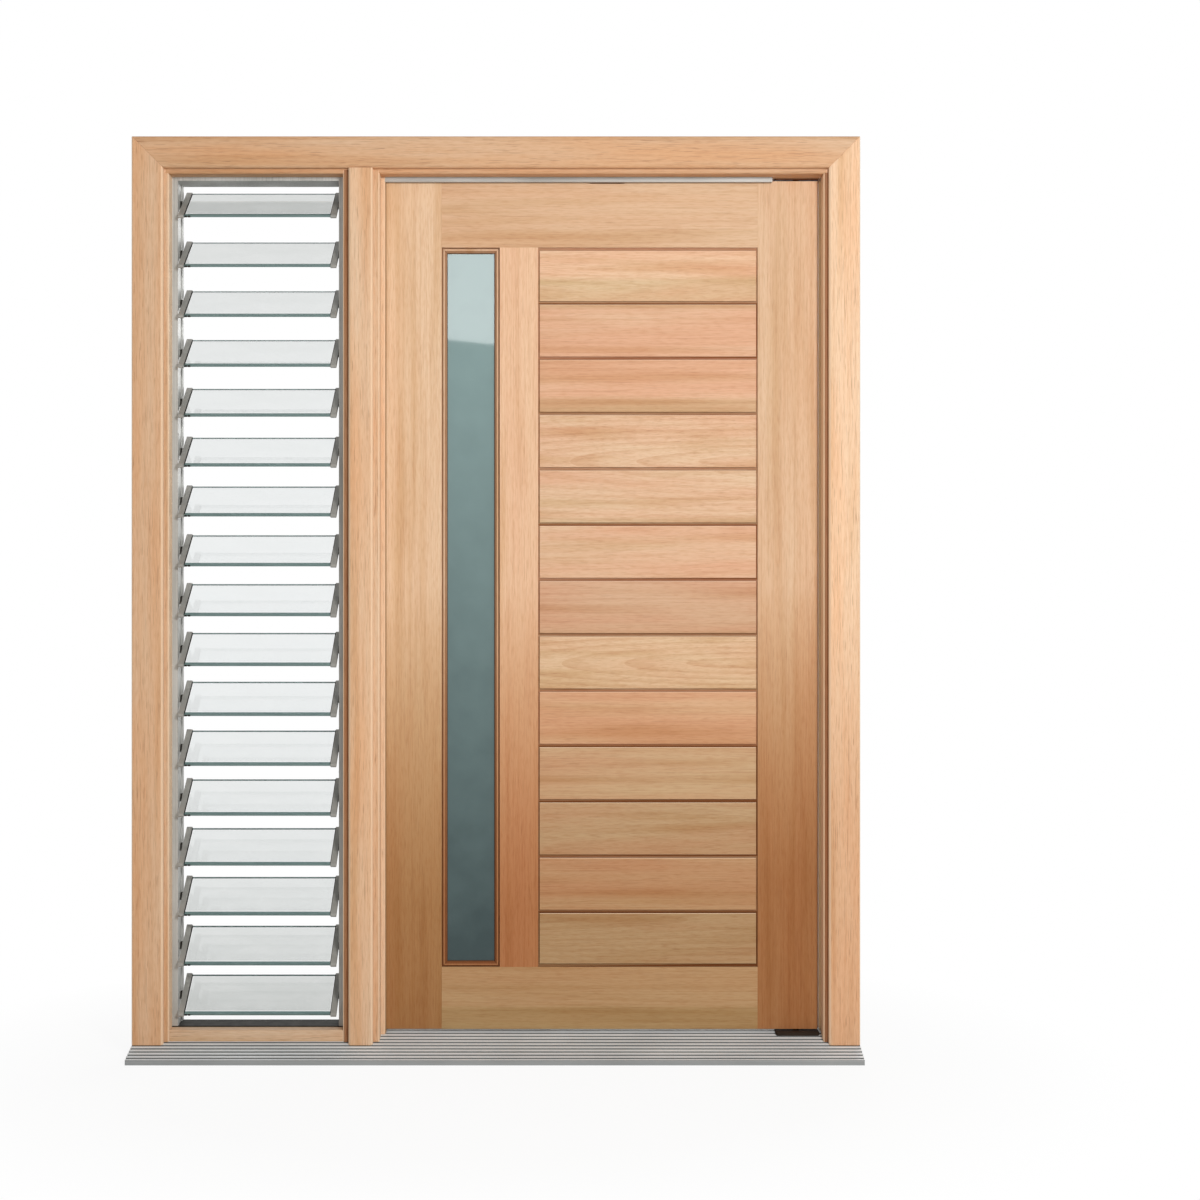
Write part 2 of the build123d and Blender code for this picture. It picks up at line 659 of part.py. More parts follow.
def make_frame():
    """Every fixed piece of the frame and the sidelight, by name."""
    mullion = make_mullion()
    head = make_head(mullion)
    left_jamb = make_left_jamb(head)
    left_mould = make_left_mould()
    left_channel = make_left_channel()
    left_clips = one_per_blade(left_clip())
    sidelight_middle = Plane.YZ.offset(SIDELIGHT_MID)
    return {
        "sill": make_sill(),
        "left_jamb": left_jamb,
        "right_jamb": mirror(left_jamb, about=Plane.YZ),
        "head_jamb": head,
        "mullion": mullion,
        "left_cover_mould": left_mould,
        "right_cover_mould": mirror(left_mould, about=Plane.YZ),
        "head_cover_mould": make_head_mould(),
        "mullion_cover_mould": make_mullion_mould(),
        "sidelight_rail": make_sidelight_rail(),
        "head_stop": make_head_stop(),
        "lock_stop": make_lock_stop(),
        "louvre_head_strip": louvre_strip(LOUVRE_TOP, HEAD_UNDER),
        "louvre_sill_strip": louvre_strip(RAIL_TOP, LOUVRE_BOTTOM),
        "louvre_channel_left": left_channel,
        "louvre_channel_right": mirror(left_channel, about=sidelight_middle),
        "louvre_clips_left": left_clips,
        "louvre_clips_right": mirror(left_clips, about=sidelight_middle),
        "louvre_blades": one_per_blade(blade()),
        "head_pivot": make_head_pivot(),
        "floor_pivot": make_floor_pivot(),
    }


def make_leaf():
    """Every piece of the swinging leaf, by name."""
    outside_beads = make_outside_beads()
    leaf = {
        "lock_stile": make_lock_stile(),
        "heel_stile": make_heel_stile(),
        "top_rail": make_top_rail(),
        "bottom_rail": make_bottom_rail(),
        "muntin": make_muntin(),
        "glass_pane": make_pane(),
        "outside_beads": outside_beads,
        "inside_beads": mirror(outside_beads, about=Plane.XZ.offset(-LEAF_MID)),
        "bottom_pivot_socket": make_bottom_socket(),
        "top_pivot_socket": make_top_socket(),
    }
    for index in range(BOARD_COUNT):
        leaf[f"board_{index + 1:02d}"] = make_board(index)
    return leaf


os.makedirs("parts", exist_ok=True)
for name, shape in {**make_frame(), **make_leaf()}.items():
    export_step(shape, f"parts/{name}.step")
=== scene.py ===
"""Dress a timber pivot entrance door and its louvre sidelight: finishes, fine pieces, light and camera."""
import logging
import math
import random
from collections.abc import Callable, Iterable
from dataclasses import dataclass, replace
from enum import Enum

import bmesh
import bpy
from bmesh.types import BMesh, BMEdge
from bpy.types import Material, Mesh, MeshPolygon, Node, NodeSocket, NodeTree, Object
from mathutils import Matrix, Vector


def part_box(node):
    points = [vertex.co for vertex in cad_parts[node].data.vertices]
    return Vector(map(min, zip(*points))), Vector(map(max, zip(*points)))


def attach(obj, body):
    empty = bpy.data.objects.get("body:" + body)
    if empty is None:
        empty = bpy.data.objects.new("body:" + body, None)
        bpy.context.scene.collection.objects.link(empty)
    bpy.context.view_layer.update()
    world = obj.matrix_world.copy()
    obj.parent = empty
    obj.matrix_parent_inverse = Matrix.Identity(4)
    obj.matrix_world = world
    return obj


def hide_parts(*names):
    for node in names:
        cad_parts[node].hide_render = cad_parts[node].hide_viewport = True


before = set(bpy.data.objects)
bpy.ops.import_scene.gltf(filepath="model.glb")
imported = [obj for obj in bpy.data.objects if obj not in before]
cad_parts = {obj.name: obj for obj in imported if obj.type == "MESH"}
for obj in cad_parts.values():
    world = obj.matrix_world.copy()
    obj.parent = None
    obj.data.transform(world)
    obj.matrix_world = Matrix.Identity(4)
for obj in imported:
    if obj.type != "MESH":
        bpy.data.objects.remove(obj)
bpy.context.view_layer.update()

LOG = logging.getLogger("entrance_door")

# Two levels, or a streak's length and width
Pair = tuple[float, float]

# What a node's input takes: a value or a hex colour, or a socket to link
Value = NodeSocket | float
Colour = NodeSocket | str

# Metres in a millimetre, the unit that the door's sizes are written in
MM = 0.001

# Triangles of a solid closer than this are welded, and faces flatter than this are joined
WELD = 0.01 * MM
FLAT_ANGLE = math.radians(0.5)

# Edges that turn further than this are rounded
SHARP_ANGLE = math.radians(30)

# Share of a face's normal from which it looks along an axis, and from which it lies level
LOOKING = 0.3
LEVEL = 0.99

# A wave pattern of scale one repeats at this distance
WAVE_PERIOD = 2 * math.pi / 20

GLASS_IOR = 1.5

# Places of the colour mix's sockets
FACTOR = 0
COLOUR_A = 6
COLOUR_B = 7
COLOUR = 2


class Body(Enum):
    """The two rigid halves that a piece rides on."""

    FRAME = "frame"
    LEAF = "leaf"


class Slot(Enum):
    """The record's material slots."""

    FRAME_TIMBER = "frame_timber"
    LEAF_TIMBER = "leaf_timber"
    BOARD_TIMBER = "board_timber"
    SILL_ALUMINIUM = "sill_aluminium"
    LOUVRE_ALUMINIUM = "louvre_aluminium"
    CLIP_PLASTIC = "clip_plastic"
    CLEAR_GLASS = "clear_glass"


class Grain(Enum):
    """Axis that a length, and so its grain or its die lines, runs along."""

    ACROSS = "X"
    UP = "Z"


class Tone(Enum):
    """How far a timber's heartwood leans from honey towards rose."""

    HONEY = 0.1
    WARM = 0.4
    BLUSH = 0.65
    ROSE = 0.95


def linear(code: str) -> tuple[float, float, float, float]:
    """Turn an sRGB hex colour into linear light.

    Args:
        code: Six hex digits after a hash sign.

    Returns:
        Red, green, blue and a full alpha.
    """
    shares = [int(code[place : place + 2], 16) / 255 for place in (1, 3, 5)]
    return (*[s / 12.92 if s <= 0.04045 else ((s + 0.055) / 1.055) ** 2.4 for s in shares], 1.0)


@dataclass(frozen=True)
class Shading:
    """A node tree, and the patterns that every finish is made of."""

    tree: NodeTree

    def add(self, kind: str, sockets: dict | None = None, **settings: object) -> Node:
        """Add one node with its settings, values and links.

        Args:
            kind: The node's type name.
            sockets: Input by name or place, with a value or an output socket to link.
            settings: The node's own properties.

        Returns:
            The new node.
        """
        node = self.tree.nodes.new(kind)
        for name, value in settings.items():
            setattr(node, name, value)
        self.connect(node, sockets or {})
        return node

    def connect(self, node: Node, sockets: dict) -> None:
        """Give a node's inputs their values and links.

        Args:
            node: Node to connect.
            sockets: Input by name or place, with a value or an output socket to link.
        """
        for key, value in sockets.items():
            if isinstance(value, NodeSocket):
                self.tree.links.new(value, node.inputs[key])
            else:
                node.inputs[key].default_value = value

    def attribute(self, name: str, output: str = "Fac") -> NodeSocket:
        """Read what a mesh carries under a name."""
        return self.add("ShaderNodeAttribute", attribute_name=name).outputs[output]

    def place(self) -> NodeSocket:
        """Place of a point in the piece's own frame, in metres."""
        return self.add("ShaderNodeTexCoord").outputs["Object"]

    def height(self) -> NodeSocket:
        """Height of a point, in metres."""
        return self.add("ShaderNodeSeparateXYZ", {"Vector": self.place()}).outputs["Z"]

    def maths(self, operation: str, *terms: Value, clamp: bool = False) -> NodeSocket:
        """Work out a value from one to three others."""
        node = self.add("ShaderNodeMath", dict(enumerate(terms)), operation=operation, use_clamp=clamp)
        return node.outputs[0]

    def remap(self, value: NodeSocket, start: Pair = (0.0, 1.0), end: Pair = (0.0, 1.0)) -> NodeSocket:
        """Carry a value over from one span of levels to another, held at its ends."""
        levels = {"From Min": start[0], "From Max": start[1], "To Min": end[0], "To Max": end[1]}
        return self.add("ShaderNodeMapRange", {"Value": value, **levels}).outputs[0]

    def bump(self, height: NodeSocket, strength: float, depth: float, invert: bool = False) -> NodeSocket:
        """Raise a pattern out of the surface, or sink it in, by a depth in millimetres."""
        sockets = {"Height": height, "Strength": strength, "Distance": depth * MM}
        return self.add("ShaderNodeBump", sockets, invert=invert).outputs[0]

    def streaks(self, grain: NodeSocket, size: Pair, detail: float = 1.0) -> NodeSocket:
        """Soft streaks drawn out along the first axis of a coordinate.

        Args:
            grain: Coordinate in metres, its first axis along the streaks.
            size: Length and width of a streak in millimetres.
            detail: Finer octaves of the pattern.

        Returns:
            The pattern's value, from 0 to 1.
        """
        length, width = size
        stretch = (1 / (length * MM), 1 / (width * MM), 1 / (width * MM))
        drawn = self.add("ShaderNodeVectorMath", {0: grain, 1: stretch}, operation="MULTIPLY")
        sockets = {"Vector": drawn.outputs[0], "Scale": 1.0, "Detail": detail}
        return self.add("ShaderNodeTexNoise", sockets).outputs["Fac"]

    def mix(self, share: Value, first: Colour, second: Colour, mode: str = "MIX") -> NodeSocket:
        """Mix two colours.

        Args:
            share: How much of the second colour shows, from 0 to 1.
            first: Colour at nought.
            second: Colour at one.
            mode: The mix's way of putting the two together.

        Returns:
            The mixed colour.
        """
        low, high = (linear(colour) if isinstance(colour, str) else colour for colour in (first, second))
        sockets = {FACTOR: share, COLOUR_A: low, COLOUR_B: high}
        return self.add("ShaderNodeMix", sockets, data_type="RGBA", blend_type=mode).outputs[COLOUR]

    def stain(
        self,
        colour: NodeSocket,
        pattern: NodeSocket,
        reach: Pair,
        strength: float,
        tint: str,
        mode: str = "MULTIPLY",
    ) -> NodeSocket:
        """Stain a colour with a tint as a pattern goes from one level to another.

        Args:
            colour: Colour to stain.
            pattern: The pattern's value.
            reach: Levels where the tint starts and where it is at its strongest.
            strength: The tint's share there, from 0 to 1.
            tint: Colour that the first one is multiplied by or mixed with.
            mode: The mix's way of putting the two together.

        Returns:
            The stained colour.
        """
        return self.mix(self.remap(pattern, reach, (0.0, strength)), colour, tint, mode)


def new_material(name: str) -> tuple[Material, Shading, Node]:
    """Start a material.

    Args:
        name: The real material's name.

    Returns:
        The material, its node tree and its surface shader.
    """
    material = bpy.data.materials.new(name)
    material.use_nodes = True
    return material, Shading(material.node_tree), material.node_tree.nodes["Principled BSDF"]


@dataclass(frozen=True)
class Hardwood:
    """Clear-oiled hardwood, planed and sanded: satin, with rose and honey bands, fine grain and pores."""

    name: str
    honey: str
    rose: str
    # Painted shade: the tint that the colour is multiplied by at the foot, standing in for light falling off
    # down the door
    painted_foot_shade: str = "#FFFFFF"
    foot_from: float = 1290
    foot_to: float = 400
    ring_spacing: float = 15
    ring_strength: float = 0.6
    vein_strength: float = 0.14
    fibre_strength: float = 0.24
    fleck_strength: float = 0.24
    pore_strength: float = 0.12
    roughness: float = 0.5
    gloss: float = 0.12

    # Length and width of a streak of each kind
    cloud: Pair = (700, 55)
    tan: Pair = (900, 34)
    vein: Pair = (560, 16)
    fibre: Pair = (260, 3.2)

    # Real flecks and pores are a fifth of a millimetre wide and too fine to show, so they are drawn coarser
    fleck: Pair = (26, 2.8)
    pore: Pair = (60, 1.8)

    def material(self) -> Material:
        """Build the timber from its own grain coordinate, so that every piece shows its own cut.

        Returns:
            The finished material.
        """
        material, shading, shader = new_material(self.name)
        grain = shading.attribute("grain", "Vector")
        fibre = shading.streaks(grain, self.fibre, 3.0)
        flecks = shading.streaks(grain, self.fleck)
        pores = shading.streaks(grain, self.pore)
        colour = self.figure(shading, grain, self.heartwood(shading, grain))
        colour = shading.stain(colour, fibre, (0.48, 0.74), self.fibre_strength, "#D9B898")
        colour = shading.stain(colour, flecks, (0.46, 0.7), self.fleck_strength, "#DDBD9B")
        colour = shading.stain(colour, pores, (0.62, 0.68), self.pore_strength, "#8F6238")
        look = {
            "Base Color": self.paint_light_and_shade(shading, colour),
            "Roughness": shading.remap(fibre, end=(self.roughness - 0.06, self.roughness + 0.1)),
            "Normal": shading.bump(fibre, 0.15, 0.2, invert=True),
            "Specular IOR Level": self.gloss,
        }
        shading.connect(shader, look)
        return material

    def heartwood(self, shading: Shading, grain: NodeSocket) -> NodeSocket:
        """Lay the soft bands between honey and rose, the tan streaks, and the pale sapwood along an edge,
        then scale the colour by the piece's light, which is partly its own tone and partly painted light and
        shade.

        Args:
            shading: Node tree that gets the nodes.
            grain: The timber's grain coordinate.

        Returns:
            The timber's ground colour.
        """
        clouds = shading.streaks(grain, self.cloud, 2.0)
        drift = shading.remap(clouds, (0.32, 0.68), (-0.4, 0.4))
        share = shading.maths("ADD", shading.attribute("tone"), drift, clamp=True)
        colour = shading.mix(share, self.honey, self.rose)
        colour = shading.stain(colour, shading.streaks(grain, self.tan), (0.5, 0.75), 0.6, "#E4D2B6")
        edge = shading.maths("MULTIPLY_ADD", clouds, 0.2, shading.attribute("sap"))
        colour = shading.stain(colour, edge, (0.06, 0.16), 0.7, "#EAF2E6")
        # Scale by the piece's light: partly its own tone, partly painted light and shade
        sockets = {0: colour, "Scale": shading.attribute("light")}
        return shading.add("ShaderNodeVectorMath", sockets, operation="SCALE").outputs[0]

    def figure(self, shading: Shading, grain: NodeSocket, colour: NodeSocket) -> NodeSocket:
        """Draw the growth rings where the saw met them, and thin wandering veins.

        Args:
            shading: Node tree that gets the nodes.
            grain: The timber's grain coordinate.
            colour: The timber's ground colour.

        Returns:
            The figured colour.
        """
        drawn = shading.add("ShaderNodeVectorMath", {0: grain, 1: (0.15, 1.0, 1.0)}, operation="MULTIPLY")
        wave = {
            "Vector": drawn.outputs[0],
            "Scale": WAVE_PERIOD / (self.ring_spacing * MM),
            "Distortion": 1.4,
            "Detail": 1.0,
            "Detail Scale": 0.6,
        }
        settings = {"wave_type": "RINGS", "rings_direction": "X", "wave_profile": "SAW"}
        rings = shading.add("ShaderNodeTexWave", wave, **settings).outputs["Fac"]
        late = shading.maths("MULTIPLY", rings, shading.attribute("figure"))
        colour = shading.stain(colour, late, (0.25, 1.0), self.ring_strength, "#D8B391")
        offset = shading.maths("SUBTRACT", shading.streaks(grain, self.vein), 0.52)
        contour = shading.maths("ABSOLUTE", offset)
        return shading.stain(colour, contour, (0.03, 0.0), self.vein_strength, "#C99C74")

    def paint_light_and_shade(self, shading: Shading, colour: NodeSocket) -> NodeSocket:
        """Paint shade on the timber, darker towards its foot and on faces marked dark, and paint a highlight
        on faces marked pale.

        Args:
            shading: Node tree that gets the nodes.
            colour: The figured colour.

        Returns:
            The colour with its painted shade and highlights.
        """
        # Painted shade: the foot tint fades in from foot_from down to foot_to
        depth = shading.remap(shading.height(), (self.foot_from * MM, self.foot_to * MM))
        tint = shading.add("ShaderNodeGamma", {"Color": linear(self.painted_foot_shade), "Gamma": depth}).outputs[0]
        deep = shading.mix(1.0, colour, tint, "MULTIPLY")
        # Painted shade where a face is marked above nought, and a painted highlight where it is marked below
        # nought
        recess = shading.attribute("recess")
        deep = shading.stain(deep, recess, (0.0, 1.0), 1.0, "#A37C58")
        return shading.stain(deep, recess, (0.0, -1.0), 1.0, "#FBDDBC", "MIX")


@dataclass(frozen=True)
class Aluminium:
    """Extruded aluminium under a dull oxide: die lines along its length, soft patches and a satin gleam."""

    name: str
    bright: str
    dull: str
    run: Grain
    roughness: float = 0.5
    metallic: float = 0.2
    line: Pair = (900, 3.2)
    patch: Pair = (240, 120)
    # Painted shade that the faces marked as lying in a groove are multiplied by
    groove_shade_tint: str = "#8C8C8A"

    def material(self) -> Material:
        """Build the metal with its die lines running the way that the bar was drawn.

        Returns:
            The finished material.
        """
        material, shading, shader = new_material(self.name)
        turn = (0.0, math.pi / 2, 0.0) if self.run is Grain.UP else (0.0, 0.0, 0.0)
        drawn = shading.add("ShaderNodeMapping", {"Vector": shading.place(), "Rotation": turn}).outputs[0]
        die = shading.streaks(drawn, self.line)
        patch = shading.streaks(drawn, self.patch, 4.0)
        share = shading.remap(shading.maths("MULTIPLY", die, patch), (0.12, 0.42))
        colour = shading.mix(share, self.bright, self.dull)
        # Painted shade where a face is marked as lying in a groove
        recess = shading.attribute("recess")
        look = {
            "Base Color": shading.stain(colour, recess, (0.0, 1.0), 1.0, self.groove_shade_tint),
            "Roughness": shading.remap(patch, end=(self.roughness - 0.08, self.roughness + 0.14)),
            "Normal": shading.bump(die, 0.2, 0.1),
            "Metallic": self.metallic,
        }
        shading.connect(shader, look)
        return material


@dataclass(frozen=True)
class Coating:
    """Moulded plastic, rubber or a coated metal: one pigment with a faint mottle and a fine grit."""

    name: str
    light: str
    dark: str
    roughness: float
    metallic: float = 0.0
    gloss: float = 0.5
    mottle: Pair = (26, 26)
    grit: Pair = (1.2, 1.2)
    grit_depth: float = 0.08

    def material(self) -> Material:
        """Build the coating from a broad mottle and a fine grit.

        Returns:
            The finished material.
        """
        material, shading, shader = new_material(self.name)
        mottle = shading.streaks(shading.place(), self.mottle, 4.0)
        grit = shading.streaks(shading.place(), self.grit, 2.0)
        look = {
            "Base Color": shading.mix(mottle, self.light, self.dark),
            "Roughness": shading.remap(mottle, end=(self.roughness - 0.07, self.roughness + 0.07)),
            "Normal": shading.bump(grit, 0.3, self.grit_depth),
            "Metallic": self.metallic,
            "Specular IOR Level": self.gloss,
        }
        shading.connect(shader, look)
        return material


@dataclass(frozen=True)
class BladeGlass:
    """Clear float glass of a blade: a faint film, with painted shade darker towards head and foot, and a
    painted highlight along its rim.
    """

    name: str
    film: str
    thin: str
    clear: str
    half_length: float = 201.5
    half_width: float = 69
    middle_height: float = 1247
    half_height: float = 1100
    end_rim: float = 4
    edge_rim: float = 3.5
    wipe: Pair = (130, 60)

    def material(self) -> Material:
        """Build the glass from the blade's own flat coordinate.

        Returns:
            The finished material.
        """
        material, shading, shader = new_material(self.name)
        flat = shading.attribute("flat", "Vector")
        size = shading.add("ShaderNodeVectorMath", {0: flat}, operation="ABSOLUTE").outputs[0]
        sides = shading.add("ShaderNodeSeparateXYZ", {"Vector": size})
        wipes_and_rim_highlight = shading.maths("MULTIPLY", shading.streaks(flat, self.wipe, 4.0), 0.3)
        # Painted highlight: the rim along the blade's ends and edges is cleared to white
        starts = {"X": self.half_length - self.end_rim, "Y": self.half_width - self.edge_rim}
        for axis, start in starts.items():
            rim = shading.remap(sides.outputs[axis], (start * MM, (start + 1) * MM))
            wipes_and_rim_highlight = shading.maths("MAXIMUM", wipes_and_rim_highlight, rim)
        look = {
            "Base Color": shading.mix(wipes_and_rim_highlight, self.film_and_painted_shade(shading), self.clear),
            "Transmission Weight": 1.0,
            "Roughness": 0.02,
            "IOR": GLASS_IOR,
        }
        shading.connect(shader, look)
        return material

    def film_and_painted_shade(self, shading: Shading) -> NodeSocket:
        """Lay the film, pale at the middle blades and darker towards head and foot, as painted shade.

        Args:
            shading: Node tree that gets the nodes.

        Returns:
            The film's colour.
        """
        foot = (self.middle_height - self.half_height) * MM
        head = (self.middle_height + self.half_height) * MM
        share = shading.remap(shading.height(), (foot, head), (-1.0, 1.0))
        return shading.mix(shading.maths("MULTIPLY", share, share), self.thin, self.film)


@dataclass(frozen=True)
class GlassEdge:
    """Ground edge of float glass, where the light that runs along the sheet comes out grey-green."""

    name: str
    light: str
    dark: str
    cloud: Pair = (70, 12)

    def material(self) -> Material:
        """Build the edge with the fine cloud that grinding leaves.

        Returns:
            The finished material.
        """
        material, shading, shader = new_material(self.name)
        cloud = shading.streaks(shading.place(), self.cloud, 3.0)
        look = {
            "Base Color": shading.mix(cloud, self.light, self.dark),
            "Transmission Weight": 0.15,
            "Roughness": 0.25,
            "IOR": GLASS_IOR,
        }
        shading.connect(shader, look)
        return material


@dataclass(frozen=True)
class FrostedPane:
    """Laminated pane with a milky interlayer: grey-green, with painted shade deepening towards the foot, and
    a polished face.
    """

    name: str
    upper: str
    lower: str
    upper_height: float = 1950
    lower_height: float = 270
    haze: Pair = (90, 90)

    def material(self) -> Material:
        """Build the haze, with painted shade that deepens down the pane, under a polished coat.

        Returns:
            The finished material.
        """
        material, shading, shader = new_material(self.name)
        # Painted shade: the pane darkens from upper_height down to lower_height
        depth = shading.remap(shading.height(), (self.upper_height * MM, self.lower_height * MM))
        drift = shading.remap(shading.streaks(shading.place(), self.haze, 4.0), end=(-0.12, 0.12))
        share = shading.maths("ADD", depth, drift, clamp=True)
        look = {
            "Base Color": shading.mix(share, self.upper, self.lower),
            "Specular IOR Level": 0.0,
            "Roughness": 0.6,
            "Coat Weight": 1.0,
            "Coat Roughness": 0.03,
        }
        shading.connect(shader, look)
        return material


@dataclass(frozen=True)
class Cut:
    """How a timber was sawn from its log: where the log's middle lies and leans, and how far its rings show.

    A share of its width is sapwood, along its upper edge, or its lower one if the share is less than nought.
    """

    tone: Tone = Tone.WARM
    # Brightness that the colour is scaled by: partly the piece's own tone, partly painted light, higher on
    # pieces the lamp would light more and lower on those it would leave in shade
    light: float = 1.0
    pith_through: float = 60
    pith_across: float = 320
    lean: float = 0.0
    figure: float = 0.35
    sap: float = 0.0


def merged_copy(node: str) -> BMesh:
    """Copy a solid's mesh with its loose triangles welded into clean faces.

    Args:
        node: The solid's name.

    Returns:
        The welded mesh.
    """
    shape = bmesh.new()
    shape.from_mesh(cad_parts[node].data)
    bmesh.ops.remove_doubles(shape, verts=shape.verts, dist=WELD)
    bmesh.ops.dissolve_limit(shape, angle_limit=FLAT_ANGLE, verts=shape.verts, edges=shape.edges)
    return shape


def ease_edges(shape: BMesh, radius: float, wanted: Callable[[BMEdge], bool] | None = None) -> None:
    """Round a shape's outer edges as sandpaper does.

    Args:
        shape: Mesh to round, changed in place.
        radius: Radius in millimetres.
        wanted: Test that an edge has to pass, or none to round every sharp outer edge.
    """
    sharp = [
        edge
        for edge in shape.edges
        if len(edge.link_faces) == 2 and edge.is_convex and edge.calc_face_angle() > SHARP_ANGLE
    ]
    bmesh.ops.bevel(
        shape,
        geom=[edge for edge in sharp if wanted is None or wanted(edge)],
        offset=radius * MM,
        offset_type="OFFSET",
        segments=2,
        profile=0.5,
        affect="EDGES",
        clamp_overlap=True,
        material=-1,
    )


def block(low: Iterable[float], high: Iterable[float]) -> BMesh:
    """Make a plain block between two corners.

    Args:
        low: Lowest corner in metres.
        high: Highest corner in metres.

    Returns:
        The block's mesh.
    """
    shape = bmesh.new()
    low, high = Vector(low), Vector(high)
    place = Matrix.Translation((low + high) / 2) @ Matrix.Diagonal((*(high - low), 1.0))
    bmesh.ops.create_cube(shape, size=1.0, matrix=place)
    return shape


def disc(place: Vector, facing: Vector, radius: float, thick: float, sides: int = 20) -> BMesh:
    """Make a short round bar that stands on a point.

    Args:
        place: Middle of its foot in metres.
        facing: Direction that it stands up in.
        radius: Radius in millimetres.
        thick: Height in millimetres.
        sides: Number of flats that make it round.

    Returns:
        The bar's mesh.
    """
    shape = bmesh.new()
    half = Matrix.Translation((0, 0, thick / 2 * MM))
    turn = facing.to_track_quat("Z", "Y").to_matrix().to_4x4()
    bmesh.ops.create_cone(
        shape,
        cap_ends=True,
        segments=sides,
        radius1=radius * MM,
        radius2=radius * MM,
        depth=thick * MM,
        matrix=Matrix.Translation(place) @ turn @ half,
    )
    return shape


def screw_head(place: Vector, facing: Vector, radius: float) -> BMesh:
    """Make a pan-head screw's head with a round recess.

    Args:
        place: Middle of the head's foot, on the surface, in metres.
        facing: Direction out of the surface.
        radius: Radius in millimetres.

    Returns:
        The head's mesh.
    """
    shape = disc(place, facing, radius, thick=1.0, sides=16)
    crown = max(shape.faces, key=lambda face: face.calc_center_median().dot(facing))
    shoulder = (0.25 * radius, 0.3)
    recess = (0.3 * radius, -0.5)
    for inset, rise in (shoulder, recess):
        bmesh.ops.inset_individual(shape, faces=[crown], thickness=inset * MM, depth=rise * MM)
    return shape


def join(shapes: Iterable[BMesh]) -> BMesh:
    """Put several meshes into one.

    Args:
        shapes: Meshes to join, each freed afterwards.

    Returns:
        The joined mesh.
    """
    whole = bmesh.new()
    for shape in shapes:
        part = bpy.data.meshes.new("part")
        shape.to_mesh(part)
        shape.free()
        whole.from_mesh(part)
        bpy.data.meshes.remove(part)
    return whole


def lay_grain(mesh: Mesh, grain: Grain, cut: Cut, seed: str) -> None:
    """Give a timber its grain coordinate, along, through and across it, and the values of its cut.

    Args:
        mesh: The timber's mesh.
        grain: Axis that the timber's length runs along.
        cut: How it was sawn from its log.
        seed: Name that sets which stretch of the log it is.
    """
    points = [vertex.co for vertex in mesh.vertices]
    middle = Vector([(min(axis) + max(axis)) / 2 for axis in zip(*points)])
    width = max(abs(point.z - middle.z) for point in points) * 2
    start = random.Random(seed).uniform(0.0, 40.0)
    side = 1 if cut.sap > 0 else -1
    grains = []
    saps = []
    for point in points:
        local = point - middle
        along, across = (local.x, local.z) if grain is Grain.ACROSS else (local.z, local.x)
        through = local.y + cut.pith_through * MM + cut.lean * along
        grains.extend((along + start, through, across + cut.pith_across * MM))
        saps.append(abs(cut.sap) - 0.5 + side * across / width if cut.sap else -1.0)
    mesh.attributes.new("grain", "FLOAT_VECTOR", "POINT").data.foreach_set("vector", grains)
    mesh.attributes.new("sap", "FLOAT", "POINT").data.foreach_set("value", saps)
    for name, value in (("tone", cut.tone.value), ("light", cut.light), ("figure", cut.figure)):
        mesh.attributes.new(name, "FLOAT", "POINT").data.foreach_set("value", [value] * len(points))


def paint_shade_and_highlight(mesh: Mesh, weigh: Callable[[MeshPolygon], float]) -> None:
    """Mark the faces that get painted shade, where a finish is darker, and those that get a painted
    highlight, where it is paler.

    Args:
        mesh: Mesh to mark.
        weigh: Gives how much painted shade a face gets, from 0 to 1, or how much painted highlight, from 0 to
            -1.
    """
    weights = [weigh(face) for face in mesh.polygons]
    # The weights go under the name recess, which the finishes read as painted shade and painted highlight
    mesh.attributes.new("recess", "FLOAT", "FACE").data.foreach_set("value", weights)


def place_piece(
    name: str,
    shape: BMesh,
    body: Body,
    finishes: list[Material],
    replaced: tuple[str, ...] = (),
) -> Object:
    """Turn a mesh into a finished piece that rides on a body.

    Args:
        name: The piece's name.
        shape: Its mesh, freed afterwards.
        body: Body that carries it.
        finishes: Its materials, in the order of its faces' material numbers.
        replaced: Solids that it stands for.

    Returns:
        The new object.
    """
    mesh = bpy.data.meshes.new(name)
    shape.normal_update()
    shape.to_mesh(mesh)
    shape.free()
    for finish in finishes:
        mesh.materials.append(finish)
    piece = bpy.data.objects.new(name, mesh)
    bpy.context.scene.collection.objects.link(piece)
    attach(piece, body.value)
    if replaced:
        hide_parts(*replaced)
    LOG.info("%s: %d faces on %s", name, len(mesh.polygons), body.value)
    return piece


def dress(node: str, finish: Material) -> None:
    """Give a solid its finish.

    Args:
        node: The solid's name.
        finish: The material that it gets.
    """
    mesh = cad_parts[node].data
    mesh.materials.clear()
    mesh.materials.append(finish)
    LOG.info("%s dressed in %s", node, finish.name)


